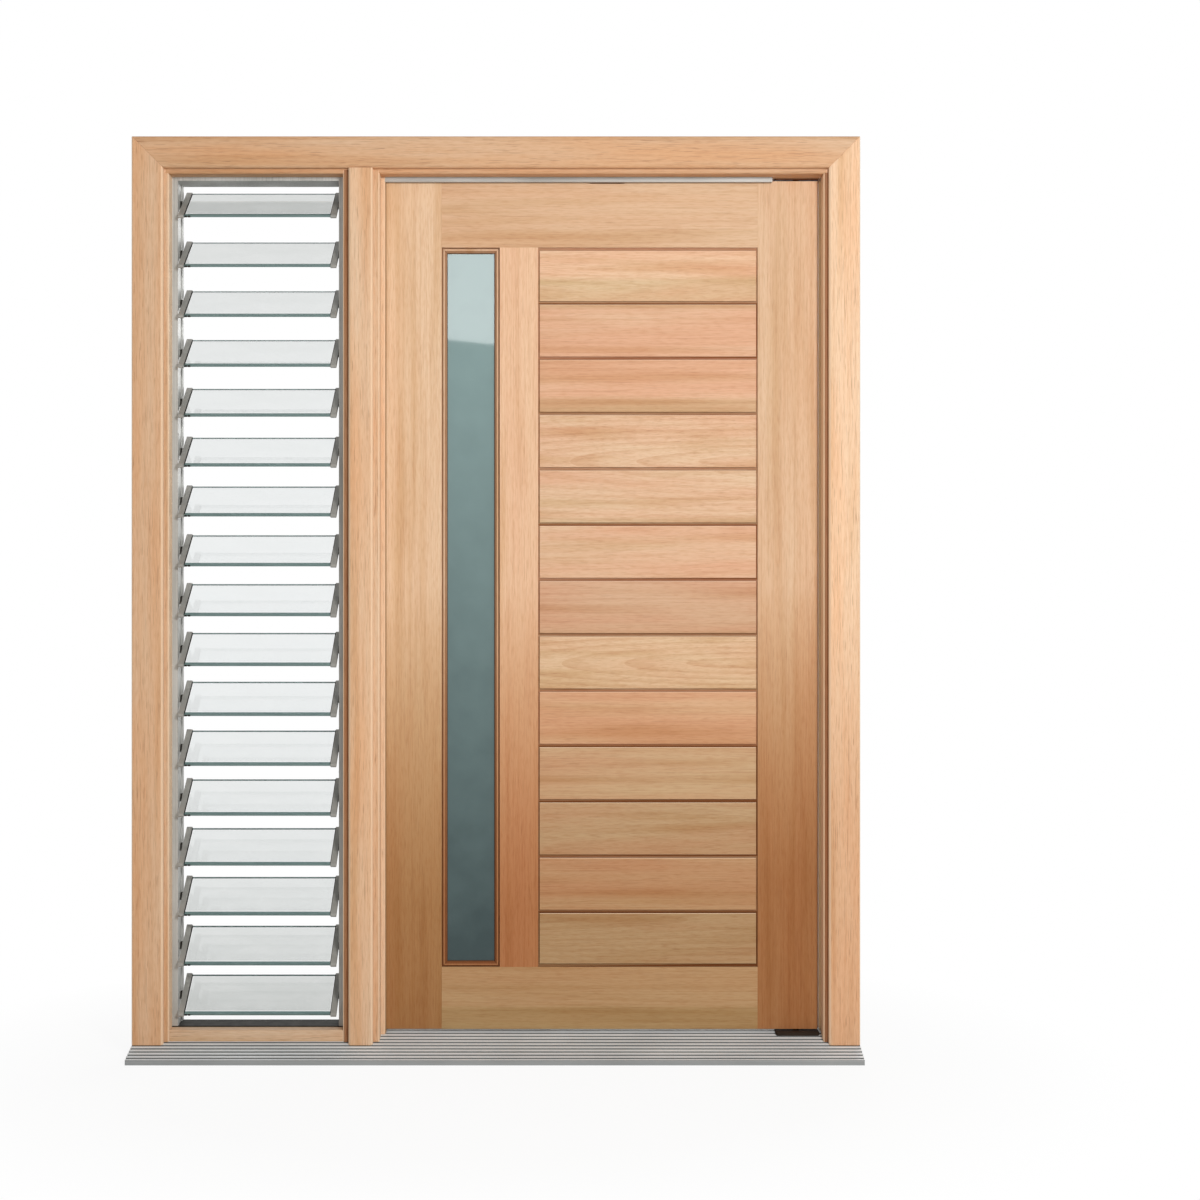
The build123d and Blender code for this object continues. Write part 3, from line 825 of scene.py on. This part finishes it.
@dataclass
class TimberFrame:
    """Jambs, head, mullion, cover moulds, sidelight rail, lock stop, and the seals that the leaf meets."""

    finish: Material
    # The frame timber with its own painted foot shade, for the right-hand pieces
    right_finish: Material
    lip_finish: Material
    brush_finish: Material
    # Pieces whose left front margin gets a painted shadow, as if cast by the mould beside it
    shaded: tuple[str, ...] = ("mullion", "right_jamb")
    arris: float = 1.2
    side_painted_highlight: float = 0.6
    margin_painted_shadow: float = 0.8
    seal_arris: float = 0.8
    lip_lap: float = 4
    lip_reach: float = 2.5
    lip_gap: float = 0.4
    brush_width: float = 4
    brush_depth: float = 10
    brush_setback: float = 2

    def build(self) -> None:
        """Round every timber's edges and lay its grain along its length."""
        # The second number of each cut is partly painted light: the right-hand mould is made brightest, as if
        # the lamp fell on it
        uprights = {
            "left_jamb": Cut(Tone.WARM, 0.95),
            "right_jamb": Cut(Tone.WARM, 0.95),
            "mullion": Cut(Tone.WARM, 1.0),
            "left_cover_mould": Cut(Tone.BLUSH, 1.03, pith_across=240),
            "right_cover_mould": Cut(Tone.HONEY, 1.2, pith_across=-280),
            "mullion_cover_mould": Cut(Tone.WARM, 1.08, pith_across=190),
            "lock_stop": Cut(Tone.HONEY, 1.08),
        }
        levels = {
            "head_jamb": Cut(Tone.BLUSH, 0.9),
            "head_cover_mould": Cut(Tone.BLUSH, 0.96, pith_across=260),
            "sidelight_rail": Cut(Tone.HONEY, pith_across=180),
        }
        for node, cut in uprights.items():
            self.timber(node, Grain.UP, cut)
        for node, cut in levels.items():
            self.timber(node, Grain.ACROSS, cut)
        self.seals()

    def seals(self) -> None:
        """Make the lip on the lock stop's back, and the brush on the jamb beside the leaf's heel."""
        stop_low, stop_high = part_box("lock_stop")
        heel_low, heel_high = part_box("heel_stile")
        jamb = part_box("right_jamb")[0].x
        front = heel_low.y + self.brush_setback * MM
        lip = block(
            (stop_high.x - self.lip_lap * MM, stop_high.y, stop_low.z),
            (stop_high.x + self.lip_reach * MM, heel_low.y - self.lip_gap * MM, stop_high.z),
        )
        brush = block(
            (jamb - self.brush_width * MM, front, heel_low.z),
            (jamb, front + self.brush_depth * MM, heel_high.z),
        )
        pieces = (("lock_lip", lip, self.lip_finish), ("heel_brush", brush, self.brush_finish))
        for name, shape, finish in pieces:
            ease_edges(shape, self.seal_arris)
            place_piece(name, shape, Body.FRAME, [finish])

    def timber(self, node: str, grain: Grain, cut: Cut) -> None:
        """Make one timber from its solid.

        Args:
            node: The solid's name.
            grain: Axis of its length.
            cut: How it was sawn.
        """
        low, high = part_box(node)
        middle = (low + high) / 2
        shape = merged_copy(node)
        ease_edges(shape, self.arris)
        # Split the shaded pieces down the middle, so that only the margin on their left gets the painted
        # shadow
        if node in self.shaded:
            geometry = shape.verts[:] + shape.edges[:] + shape.faces[:]
            bmesh.ops.bisect_plane(shape, geom=geometry, plane_co=middle, plane_no=(1, 0, 0))
        finish = self.right_finish if node.startswith("right") else self.finish
        piece = place_piece(f"{node}_timber", shape, Body.FRAME, [finish], (node,))
        lay_grain(piece.data, grain, cut, node)

        def shade(face: MeshPolygon) -> float:
            """Weigh a face: painted highlight where it looks aside, and painted shadow on the margin beside a
            mould.
            """
            if abs(face.normal.x) > LOOKING:
                return -self.side_painted_highlight
            margin = node in self.shaded and face.normal.y < -LOOKING and face.center.x < middle.x
            return self.margin_painted_shadow if margin else 0.0

        paint_shade_and_highlight(piece.data, shade)


@dataclass
class Leaf:
    """The swinging leaf: stiles, rails, muntin, boards, glazed slot, and the strip under it."""

    lock_finish: Material
    heel_finish: Material
    rail_finish: Material
    muntin_finish: Material
    board_finish: Material
    pane_finish: Material
    seal_finish: Material
    strip_finish: Material
    arris: float = 1.0
    board_arris: float = 1.4
    arris_tip: float = 0.1
    arris_painted_highlight: float = 0.7
    # Painted shade in the lower half of each groove, against one in the upper half
    groove_foot: float = 0.6
    bead_arris: float = 0.7
    bead_width: float = 14
    bead_depth: float = 5
    # Painted shade on the beads' faces that lie deep beside the glass
    bead_shade: float = 0.6
    gasket_width: float = 1.4
    gasket_rise: float = 1.0
    strip_depth: float = 14
    strip_drop: float = 2.6
    strip_setback: float = 3
    strip_arris: float = 0.6

    def build(self) -> None:
        """Build every piece of the leaf."""
        self.members()
        self.boards()
        self.beads()
        self.gasket()
        self.bottom_strip()
        dress("glass_pane", self.pane_finish)

    def members(self) -> None:
        """Make the stiles, muntin and rails."""
        low_cut = Cut(Tone.WARM, 1.04, pith_across=-180, sap=-0.35)
        plan = (
            ("lock_stile", Grain.UP, Cut(Tone.HONEY, 1.02, pith_across=260), self.lock_finish),
            ("heel_stile", Grain.UP, Cut(Tone.BLUSH, 0.95, pith_across=-300), self.heel_finish),
            ("muntin", Grain.UP, Cut(Tone.BLUSH, 1.02, pith_across=220), self.muntin_finish),
            ("top_rail", Grain.ACROSS, Cut(Tone.WARM, 0.94, pith_across=200), self.rail_finish),
            ("bottom_rail", Grain.ACROSS, low_cut, self.rail_finish),
        )
        for node, grain, cut, finish in plan:
            shape = merged_copy(node)
            ease_edges(shape, self.arris)
            piece = place_piece(f"{node}_timber", shape, Body.LEAF, [finish], (node,))
            lay_grain(piece.data, grain, cut, node)

    def depth(self, through: float) -> float:
        """Distance of a place through the wall behind the leaf's nearer face, in metres."""
        low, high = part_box("top_rail")
        return min(through - low.y, high.y - through)

    def on_face(self, edge: BMEdge) -> bool:
        """Tell whether an edge lies in one of the leaf's two faces."""
        return all(self.depth(vertex.co.y) < WELD for vertex in edge.verts)

    def boards(self) -> None:
        """Make the boards, lowest first, each from its own stick of timber."""
        cuts = (
            Cut(Tone.HONEY, 0.84, 44, -50, 0.05, 0.5),
            Cut(Tone.BLUSH, 0.92, 60, 220),
            Cut(Tone.WARM, 0.86, 50, 60, -0.05, 0.4),
            Cut(Tone.WARM, 0.92, 80, 180),
            Cut(Tone.ROSE, 1.0, 60, -240),
            Cut(Tone.HONEY, 1.0, 45, 6, -0.085, 0.65),
            Cut(Tone.ROSE, 0.87, 70, 200, sap=-0.06),
            Cut(Tone.BLUSH, 0.96, 70, -90, 0.04, 0.4),
            Cut(Tone.WARM, 0.96, 60, -70, -0.06, 0.5, -0.1),
            Cut(Tone.WARM, 0.97, 46, 60, -0.09, 0.6),
            Cut(Tone.ROSE, 0.97, 70, 160, sap=-0.27),
            Cut(Tone.ROSE, 0.96, 60, -200, sap=0.17),
            Cut(Tone.BLUSH, 1.02, 64, 50, 0.05, 0.4, -0.45),
        )
        for number, cut in enumerate(cuts, 1):
            node = f"board_{number:02d}"
            shape = merged_copy(node)
            ease_edges(shape, self.board_arris, self.on_face)
            name = f"{node}_timber"
            piece = place_piece(name, shape, Body.LEAF, [self.board_finish], (node,))
            lay_grain(piece.data, Grain.ACROSS, cut, node)
            low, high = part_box(node)
            middle = (low.z + high.z) / 2
            paint_shade_and_highlight(piece.data, lambda face: self.groove_painted_shade(face, middle))

    def groove_painted_shade(self, face: MeshPolygon, middle: float) -> float:
        """Weigh the painted light on a board's face: most painted shade in the groove over it, and a painted
        highlight on its upper arris.

        Args:
            face: Face of a board.
            middle: Height of the board's middle.

        Returns:
            Nought on the board's own face, up to one of painted shade in the groove, and less than nought for
            the painted highlight on the arris.
        """
        upper = face.center.z > middle
        if self.depth(face.center.y) < self.board_arris * MM:
            return -self.arris_painted_highlight if upper and abs(face.normal.z) > self.arris_tip else 0.0
        return 1.0 if upper else self.groove_foot

    def beads(self) -> None:
        """Make both rings of glazing beads, with painted shade towards the glass."""
        for node in ("outside_beads", "inside_beads"):
            shape = merged_copy(node)
            ease_edges(shape, self.bead_arris)
            name = f"{node}_timber"
            piece = place_piece(name, shape, Body.LEAF, [self.muntin_finish], (node,))
            lay_grain(piece.data, Grain.UP, Cut(Tone.WARM, 0.85, pith_across=90), node)
            paint_shade_and_highlight(piece.data, self.bead_painted_shade)

    def bead_painted_shade(self, face: MeshPolygon) -> float:
        """Weigh the painted shade on a bead's face: only where it lies deep, beside the glass."""
        return self.bead_shade if self.depth(face.center.y) > self.bead_depth * MM else 0.0

    def gasket(self) -> None:
        """Make the dark glazing gaskets that stand between the beads' noses and the glass."""
        low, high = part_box("outside_beads")
        pane_low, pane_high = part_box("glass_pane")
        width = self.gasket_width * MM
        rise = self.gasket_rise * MM
        left, right = low.x + self.bead_width * MM, high.x - self.bead_width * MM
        bottom, top = low.z + self.bead_width * MM, high.z - self.bead_width * MM
        strips = []
        for near, far in ((pane_low.y - rise, pane_low.y), (pane_high.y, pane_high.y + rise)):
            for side in (left, right - width):
                strips.append(block((side, near, bottom), (side + width, far, top)))
            for foot in (bottom, top - width):
                strips.append(block((left + width, near, foot), (right - width, far, foot + width)))
        place_piece("pane_gasket", join(strips), Body.LEAF, [self.seal_finish])

    def bottom_strip(self) -> None:
        """Make the pale strip under the leaf's front edge."""
        low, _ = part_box("lock_stile")
        pivot_low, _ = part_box("floor_pivot")
        front = low.y + self.strip_setback * MM
        shape = block(
            (low.x + self.strip_setback * MM, front, low.z - self.strip_drop * MM),
            (pivot_low.x, front + self.strip_depth * MM, low.z),
        )
        ease_edges(shape, self.strip_arris)
        place_piece("leaf_bottom_strip", shape, Body.LEAF, [self.strip_finish])


@dataclass
class Louvre:
    """The sidelight's louvre: channels, clips, bushes, glass blades with their seals and tabs, and screws."""

    channel_finish: Material
    strip_finish: Material
    dark_finish: Material
    clip_finish: Material
    glass_finish: Material
    edge_finish: Material
    tab_finish: Material
    screw_finish: Material
    count: int = 17
    blade_width: float = 152
    blade_thick: float = 6
    blade_arris: float = 1
    ground_front: float = 10
    ground_back: float = 4
    tilt: float = 34
    clip_arris: float = 1.2
    clip_width: float = 15
    bush_radius: float = 11.6
    seal_width: float = 2
    seal_rise: float = 0.6
    tab_length: float = 7
    tab_gap: float = 4
    tab_thick: float = 1.6
    tab_height: float = 5.4
    tab_arris: float = 0.5
    screw_radius: float = 4
    screw_setback: float = 10
    screw_count: int = 5

    def build(self) -> None:
        """Dress the channels and strips, and build the clips, blades and small pieces."""
        for node in ("louvre_channel_left", "louvre_channel_right", "louvre_head_strip"):
            dress(node, self.channel_finish)
        dress("head_stop", self.strip_finish)
        # The sill strip is made black: partly its own black finish, partly painted shade under the lowest
        # blade
        dress("louvre_sill_strip", self.dark_finish)
        self.clips()
        self.bushes()
        self.blades()
        self.seals()
        self.tabs()
        self.screws()

    def places(self) -> list[Matrix]:
        """Work out where the blades' middles lie and how they are turned.

        Returns:
            One placement for each blade, lowest first.
        """
        low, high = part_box("louvre_channel_left")
        blades_low, blades_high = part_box("louvre_blades")
        middle = (blades_low + blades_high) / 2
        pitch = (high.z - low.z) / self.count
        turn = Matrix.Rotation(math.radians(self.tilt), 4, "X")
        rises = [(index - (self.count - 1) / 2) * pitch for index in range(self.count)]
        return [Matrix.Translation(middle + Vector((0, 0, rise))) @ turn for rise in rises]

    def mouth(self) -> float:
        """Distance from the blades' middle to the clips' mouths, in metres."""
        return (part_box("louvre_clips_right")[0].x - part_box("louvre_clips_left")[1].x) / 2

    def at_every_blade(self, make: Callable[[], BMesh]) -> BMesh:
        """Repeat a piece at every blade.

        Args:
            make: Makes the piece about a blade's middle, its long side along X and its width along Y.

        Returns:
            The joined mesh.
        """
        shapes = []
        for place in self.places():
            shape = make()
            bmesh.ops.transform(shape, matrix=place, verts=shape.verts)
            shapes.append(shape)
        return join(shapes)

    def small_pieces(self, name: str, make: Callable[[], BMesh]) -> None:
        """Make one black plastic piece of what stands at every blade."""
        place_piece(name, self.at_every_blade(make), Body.FRAME, [self.tab_finish])

    def clips(self) -> None:
        """Round the clips' edges as their mould does."""
        for node in ("louvre_clips_left", "louvre_clips_right"):
            shape = merged_copy(node)
            ease_edges(shape, self.clip_arris)
            place_piece(f"{node}_moulded", shape, Body.FRAME, [self.clip_finish], (node,))

    def bushes(self) -> None:
        """Make the black bushes round the clips' hubs."""
        start = self.mouth() + self.clip_width * MM
        face = self.mouth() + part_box("louvre_clips_left")[1].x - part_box("louvre_channel_left")[1].x
        thick = (face - start) / MM

        def pair() -> BMesh:
            """One bush at each end of a blade."""
            ends = [(Vector((side * start, 0, 0)), Vector((side, 0, 0))) for side in (1, -1)]
            return join(disc(foot, facing, self.bush_radius, thick) for foot, facing in ends)

        self.small_pieces("louvre_bushes", pair)

    def blade(self) -> BMesh:
        """Make one blade about its own middle, ground along its long edges.

        Returns:
            The blade's mesh, its ground faces given the second material.
        """
        low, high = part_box("louvre_blades")
        size = Vector((high.x - low.x, self.blade_width * MM, self.blade_thick * MM))
        front = self.ground_front * MM - size.y / 2
        back = size.y / 2 - self.ground_back * MM
        shape = block(-size / 2, size / 2)
        ease_edges(shape, self.blade_arris, lambda edge: edge.verts[0].co.x * edge.verts[1].co.x < 0)
        for line in (front, back):
            geometry = shape.verts[:] + shape.edges[:] + shape.faces[:]
            bmesh.ops.bisect_plane(shape, geom=geometry, plane_co=(0, line, 0), plane_no=(0, 1, 0))
        shape.normal_update()
        for face in shape.faces:
            polished = abs(face.normal.z) > LEVEL and front < face.calc_center_median().y < back
            face.material_index = 0 if polished else 1
        return shape

    def blades(self) -> None:
        """Make the glass blades, with a flat coordinate about the middle of the polished face."""
        sample = self.blade()
        middle = Vector((0, (self.ground_front - self.ground_back) / 2 * MM, 0))
        flats = [number for vertex in sample.verts for number in vertex.co - middle] * self.count
        sample.free()
        finishes = [self.glass_finish, self.edge_finish]
        shape = self.at_every_blade(self.blade)
        piece = place_piece("louvre_glass", shape, Body.FRAME, finishes, ("louvre_blades",))
        piece.data.attributes.new("flat", "FLOAT_VECTOR", "POINT").data.foreach_set("vector", flats)

    def seals(self) -> None:
        """Make the black lips that close the clips' mouths on the glass, which also stand as painted shade
        for the dark gap between clip and glass.
        """
        start = self.mouth()
        reach = self.blade_width / 2 * MM
        face = self.blade_thick / 2 * MM
        rise = self.seal_rise * MM

        def lips() -> BMesh:
            """One lip over and one under each end of a blade."""
            strips = []
            for near in (-start, start - self.seal_width * MM):
                for foot in (face, -face - rise):
                    far = (near + self.seal_width * MM, reach, foot + rise)
                    strips.append(block((near, -reach, foot), far))
            return join(strips)

        self.small_pieces("louvre_seals", lips)

    def tabs(self) -> None:
        """Make the small dark tabs that keep each blade from sliding out of its left clip."""
        edge = -self.blade_width / 2 * MM
        half = self.tab_height / 2 * MM
        length = self.tab_length * MM

        def pair() -> BMesh:
            """Two tabs on a blade's front edge."""
            tabs = []
            for start in (self.seal_width * MM - self.mouth(), self.tab_gap * MM + length - self.mouth()):
                tab = block((start, edge - self.tab_thick * MM, -half), (start + length, edge, half))
                ease_edges(tab, self.tab_arris)
                tabs.append(tab)
            return join(tabs)

        self.small_pieces("louvre_tabs", pair)

    def screws(self) -> None:
        """Make the screws that hold both channels to the timber."""
        heads = []
        for node, side in (("louvre_channel_left", 1), ("louvre_channel_right", -1)):
            low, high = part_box(node)
            face = high.x if side > 0 else low.x
            front = low.y + self.screw_setback * MM
            facing = Vector((side, 0, 0))
            for index in range(self.screw_count):
                height = low.z + (index + 0.5) * (high.z - low.z) / self.screw_count
                heads.append(screw_head(Vector((face, front, height)), facing, self.screw_radius))
        place_piece("channel_screws", join(heads), Body.FRAME, [self.screw_finish])


@dataclass
class Threshold:
    """The ridged sill and the pivots."""

    sill_finish: Material
    floor_finish: Material
    head_finish: Material
    arris: float = 0.5
    # Depths below the ridge tops, in millimetres, between which a face gets painted shade
    groove_from: float = 0.8
    groove_to: float = 4
    # Painted shade on the sill's nose
    nose_shade: float = 0.85

    def build(self) -> None:
        """Make the sill with painted shade in its grooves and on its nose, and dress every pivot piece."""
        shape = merged_copy("sill")
        ease_edges(shape, self.arris)
        finishes = [self.sill_finish]
        piece = place_piece("sill_ridged", shape, Body.FRAME, finishes, ("sill",))
        low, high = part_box("sill")
        leaf_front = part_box("top_rail")[0].y
        nose = max(v.co.z for v in piece.data.vertices if v.co.y < low.y + MM)
        slope = (high.z - nose) / (leaf_front - low.y)

        def groove(face: MeshPolygon) -> float:
            """Weigh the painted shade on a face: most on the grooves' walls and floors, then on the nose."""
            ridge = min(high.z, nose + (face.center.y - low.y) * slope)
            if self.groove_from * MM < ridge - face.center.z < self.groove_to * MM:
                return 1.0
            return self.nose_shade if face.center.y < low.y + MM else 0.0

        paint_shade_and_highlight(piece.data, groove)
        for node in ("floor_pivot", "bottom_pivot_socket"):
            dress(node, self.floor_finish)
        for node in ("head_pivot", "top_pivot_socket"):
            dress(node, self.head_finish)


@dataclass
class Softbox:
    """One soft square studio lamp, its places and size in metres."""

    name: str
    place: tuple[float, float, float]
    target: tuple[float, float, float]
    size: float
    radiance: float
    roll: float = 0.0

    def build(self) -> None:
        """Hang the lamp and aim it."""
        lamp = bpy.data.lights.new(self.name, "AREA")
        lamp.size = self.size
        lamp.energy = self.radiance * math.pi * self.size**2
        holder = bpy.data.objects.new(self.name, lamp)
        holder.location = self.place
        aim = (Vector(self.target) - Vector(self.place)).to_track_quat("-Z", "Y").to_matrix()
        holder.rotation_euler = (aim @ Matrix.Rotation(math.radians(self.roll), 3, "Z")).to_euler()
        holder.visible_camera = False
        holder.visible_transmission = False
        bpy.context.scene.collection.objects.link(holder)


@dataclass
class Studio:
    """Plain pale floor, white surround, soft lamps and the camera, with distances in metres."""

    ambient: float = 0.3
    floor_size: float = 40.0
    floor_drop: float = 0.0005
    floor_glow: float = 0.91
    shadow_from: float = 1.0
    shadow_to: float = 1.7
    eye: tuple[float, float, float] = (0.2016, -5.5, 1.247)
    photo_size: float = 1200
    photo_middle: float = 570
    photo_focal: float = 2014.7
    sensor: float = 36.0

    def build(self) -> None:
        """Set up the surround, the floor, the lamps and the camera."""
        bpy.context.scene.view_settings.view_transform = "Standard"
        self.surround()
        self.floor()
        Softbox("key_lamp", (1.75, -5.0, 2.75), (0.1, 0.0, 1.25), size=0.9, radiance=70.5).build()
        Softbox("back_fill", (1.5, 4.5, 2.6), (0.0, 0.0, 1.25), size=2.0, radiance=5.5).build()
        Softbox("pane_card", (-0.22, -3.0, 2.606), (-0.22, 0.0, 2.606), 0.5, 6.8, roll=-6.0).build()
        self.camera()

    def seen(self, shading: Shading) -> NodeSocket:
        """Tell the rays that show the surround, straight or in metal and glass, from those that only light.

        Args:
            shading: Node tree that gets the nodes.

        Returns:
            One for camera, glossy and transmission rays, and nought for the rest.
        """
        path = shading.add("ShaderNodeLightPath")
        shown = path.outputs["Is Camera Ray"]
        for ray in ("Is Glossy Ray", "Is Transmission Ray"):
            shown = shading.maths("MAXIMUM", shown, path.outputs[ray])
        return shown

    def surround(self) -> None:
        """Make the surround white to the eye and plain soft light to everything else."""
        world = bpy.data.worlds.new("studio_surround")
        world.use_nodes = True
        shading = Shading(world.node_tree)
        shading.tree.nodes.clear()
        light = shading.add("ShaderNodeBackground", {"Color": linear("#FFFFFF"), "Strength": self.ambient})
        white = shading.add("ShaderNodeBackground", {"Color": linear("#FFFFFF"), "Strength": 1.0})
        shares = {0: self.seen(shading), 1: light.outputs[0], 2: white.outputs[0]}
        mix = shading.add("ShaderNodeMixShader", shares)
        shading.add("ShaderNodeOutputWorld", {"Surface": mix.outputs[0]})
        bpy.context.scene.world = world

    def floor(self) -> None:
        """Lay a pale floor that keeps the door's shadow near its foot and turns white further out."""
        material = bpy.data.materials.new("pale_studio_floor")
        material.use_nodes = True
        shading = Shading(material.node_tree)
        shading.tree.nodes.clear()
        matt = shading.add("ShaderNodeBsdfDiffuse", {"Color": linear("#F4F4F2")})
        glow = shading.add("ShaderNodeEmission", {"Color": linear("#FFFFFF"), "Strength": 1.0})
        far = shading.add("ShaderNodeVectorMath", {0: shading.place()}, operation="LENGTH").outputs["Value"]
        white = shading.remap(far, (self.shadow_from, self.shadow_to), (self.floor_glow, 1.0))
        share = shading.maths("MULTIPLY", self.seen(shading), white)
        mix = shading.add("ShaderNodeMixShader", {0: share, 1: matt.outputs[0], 2: glow.outputs[0]})
        shading.add("ShaderNodeOutputMaterial", {"Surface": mix.outputs[0]})
        shape = bmesh.new()
        lowered = Matrix.Translation((0, 0, -self.floor_drop))
        bmesh.ops.create_grid(shape, x_segments=1, y_segments=1, size=self.floor_size / 2, matrix=lowered)
        mesh = bpy.data.meshes.new("studio_floor")
        shape.to_mesh(mesh)
        shape.free()
        mesh.materials.append(material)
        floor = bpy.data.objects.new("studio_floor", mesh)
        bpy.context.scene.collection.objects.link(floor)

    def camera(self) -> None:
        """Stand the camera square to the door, at the height and distance that the photograph shows."""
        lens = bpy.data.cameras.new("door_camera")
        lens.sensor_width = self.sensor
        lens.lens = self.photo_focal / self.photo_size * self.sensor
        lens.shift_x = (self.photo_size / 2 - self.photo_middle) / self.photo_size
        holder = bpy.data.objects.new("door_camera", lens)
        holder.location = self.eye
        holder.rotation_euler = (math.pi / 2, 0.0, 0.0)
        bpy.context.scene.collection.objects.link(holder)
        bpy.context.scene.camera = holder


def main() -> None:
    """Build the finishes, then every sub-assembly, then the studio."""
    logging.basicConfig(level=logging.INFO, format="%(name)s %(message)s")
    jamb = Hardwood("oiled_hardwood_frame", "#DEBE9E", "#DDAC82", pore_strength=0.35)
    frame_wood = jamb.material()
    # A copy of the frame timber with its own painted foot shade, for the right jamb and mould
    right_wood = replace(jamb, name="oiled_hardwood_right_jamb", painted_foot_shade="#EEE0D6", foot_to=700).material()
    stile = Hardwood("oiled_hardwood_lock_stile", "#E5C4A2", "#E0B792", painted_foot_shade="#BCA280")
    lock_wood = stile.material()
    # A copy of the stile timber with a deeper painted foot shade, for the heel stile
    heel_wood = replace(stile, name="oiled_hardwood_heel_stile", painted_foot_shade="#BF9E7C", foot_to=480).material()
    rail_wood = Hardwood("oiled_hardwood_rails", "#E3C09D", "#E0B590", painted_foot_shade="#D0C8B4").material()
    muntin_wood = Hardwood("oiled_hardwood_muntin", "#EAC5A2", "#E6BA97", painted_foot_shade="#C3A081").material()
    board_wood = Hardwood("oiled_hardwood_boards", "#E7C7A5", "#E3B18F", painted_foot_shade="#D8CDB7").material()
    natural = Aluminium("natural_anodised_aluminium", "#C0C0BC", "#9D9D98", Grain.UP).material()
    mill = Aluminium("mill_finish_aluminium", "#F2F5F6", "#D6D9DA", Grain.ACROSS, metallic=0.05).material()
    strip = Aluminium("anodised_aluminium_strip", "#B4B3AF", "#908F8A", Grain.ACROSS).material()
    # Black for the sill strip, partly standing in as painted shade under the lowest blade
    dark = Coating("black_anodised_strip", "#3A3833", "#201F1C", 0.6, gloss=0.1).material()
    clip = Coating("grey_moulded_polypropylene", "#A9A7A1", "#8C8A84", 0.42).material()
    nylon = Coating("black_moulded_nylon", "#2B2620", "#171411", 0.6, gloss=0.2).material()
    rubber = Coating("brown_glazing_rubber", "#6A4A33", "#4A3324", 0.6, gloss=0.2).material()
    vinyl = Coating("tan_vinyl_lip", "#AC855E", "#936F4C", 0.6, gloss=0.2).material()
    brush = Coating("tan_brush_pile", "#F0D2A6", "#E0BC8A", 0.9, gloss=0.1).material()
    bronze = Coating("dark_bronze_enamel", "#3A2C22", "#241B15", 0.6, gloss=0.1).material()
    brown = Coating("brown_enamelled_steel", "#84502F", "#663A22", 0.6, gloss=0.1).material()
    zinc = Coating("zinc_plated_steel", "#B9B8B4", "#8D8C88", 0.3, metallic=1.0).material()
    glass = BladeGlass("clear_float_glass", "#C9CCCA", "#E9ECEC", "#FFFFFF").material()
    edge = GlassEdge("ground_glass_edge", "#819B98", "#627B79").material()
    pane = FrostedPane("frosted_laminated_glass", "#7F9897", "#2C4142").material()
    TimberFrame(frame_wood, right_wood, vinyl, brush).build()
    Leaf(lock_wood, heel_wood, rail_wood, muntin_wood, board_wood, pane, rubber, strip).build()
    Louvre(natural, strip, dark, clip, glass, edge, nylon, zinc).build()
    Threshold(mill, bronze, brown).build()
    Studio().build()


if __name__ == "__main__":
    main()
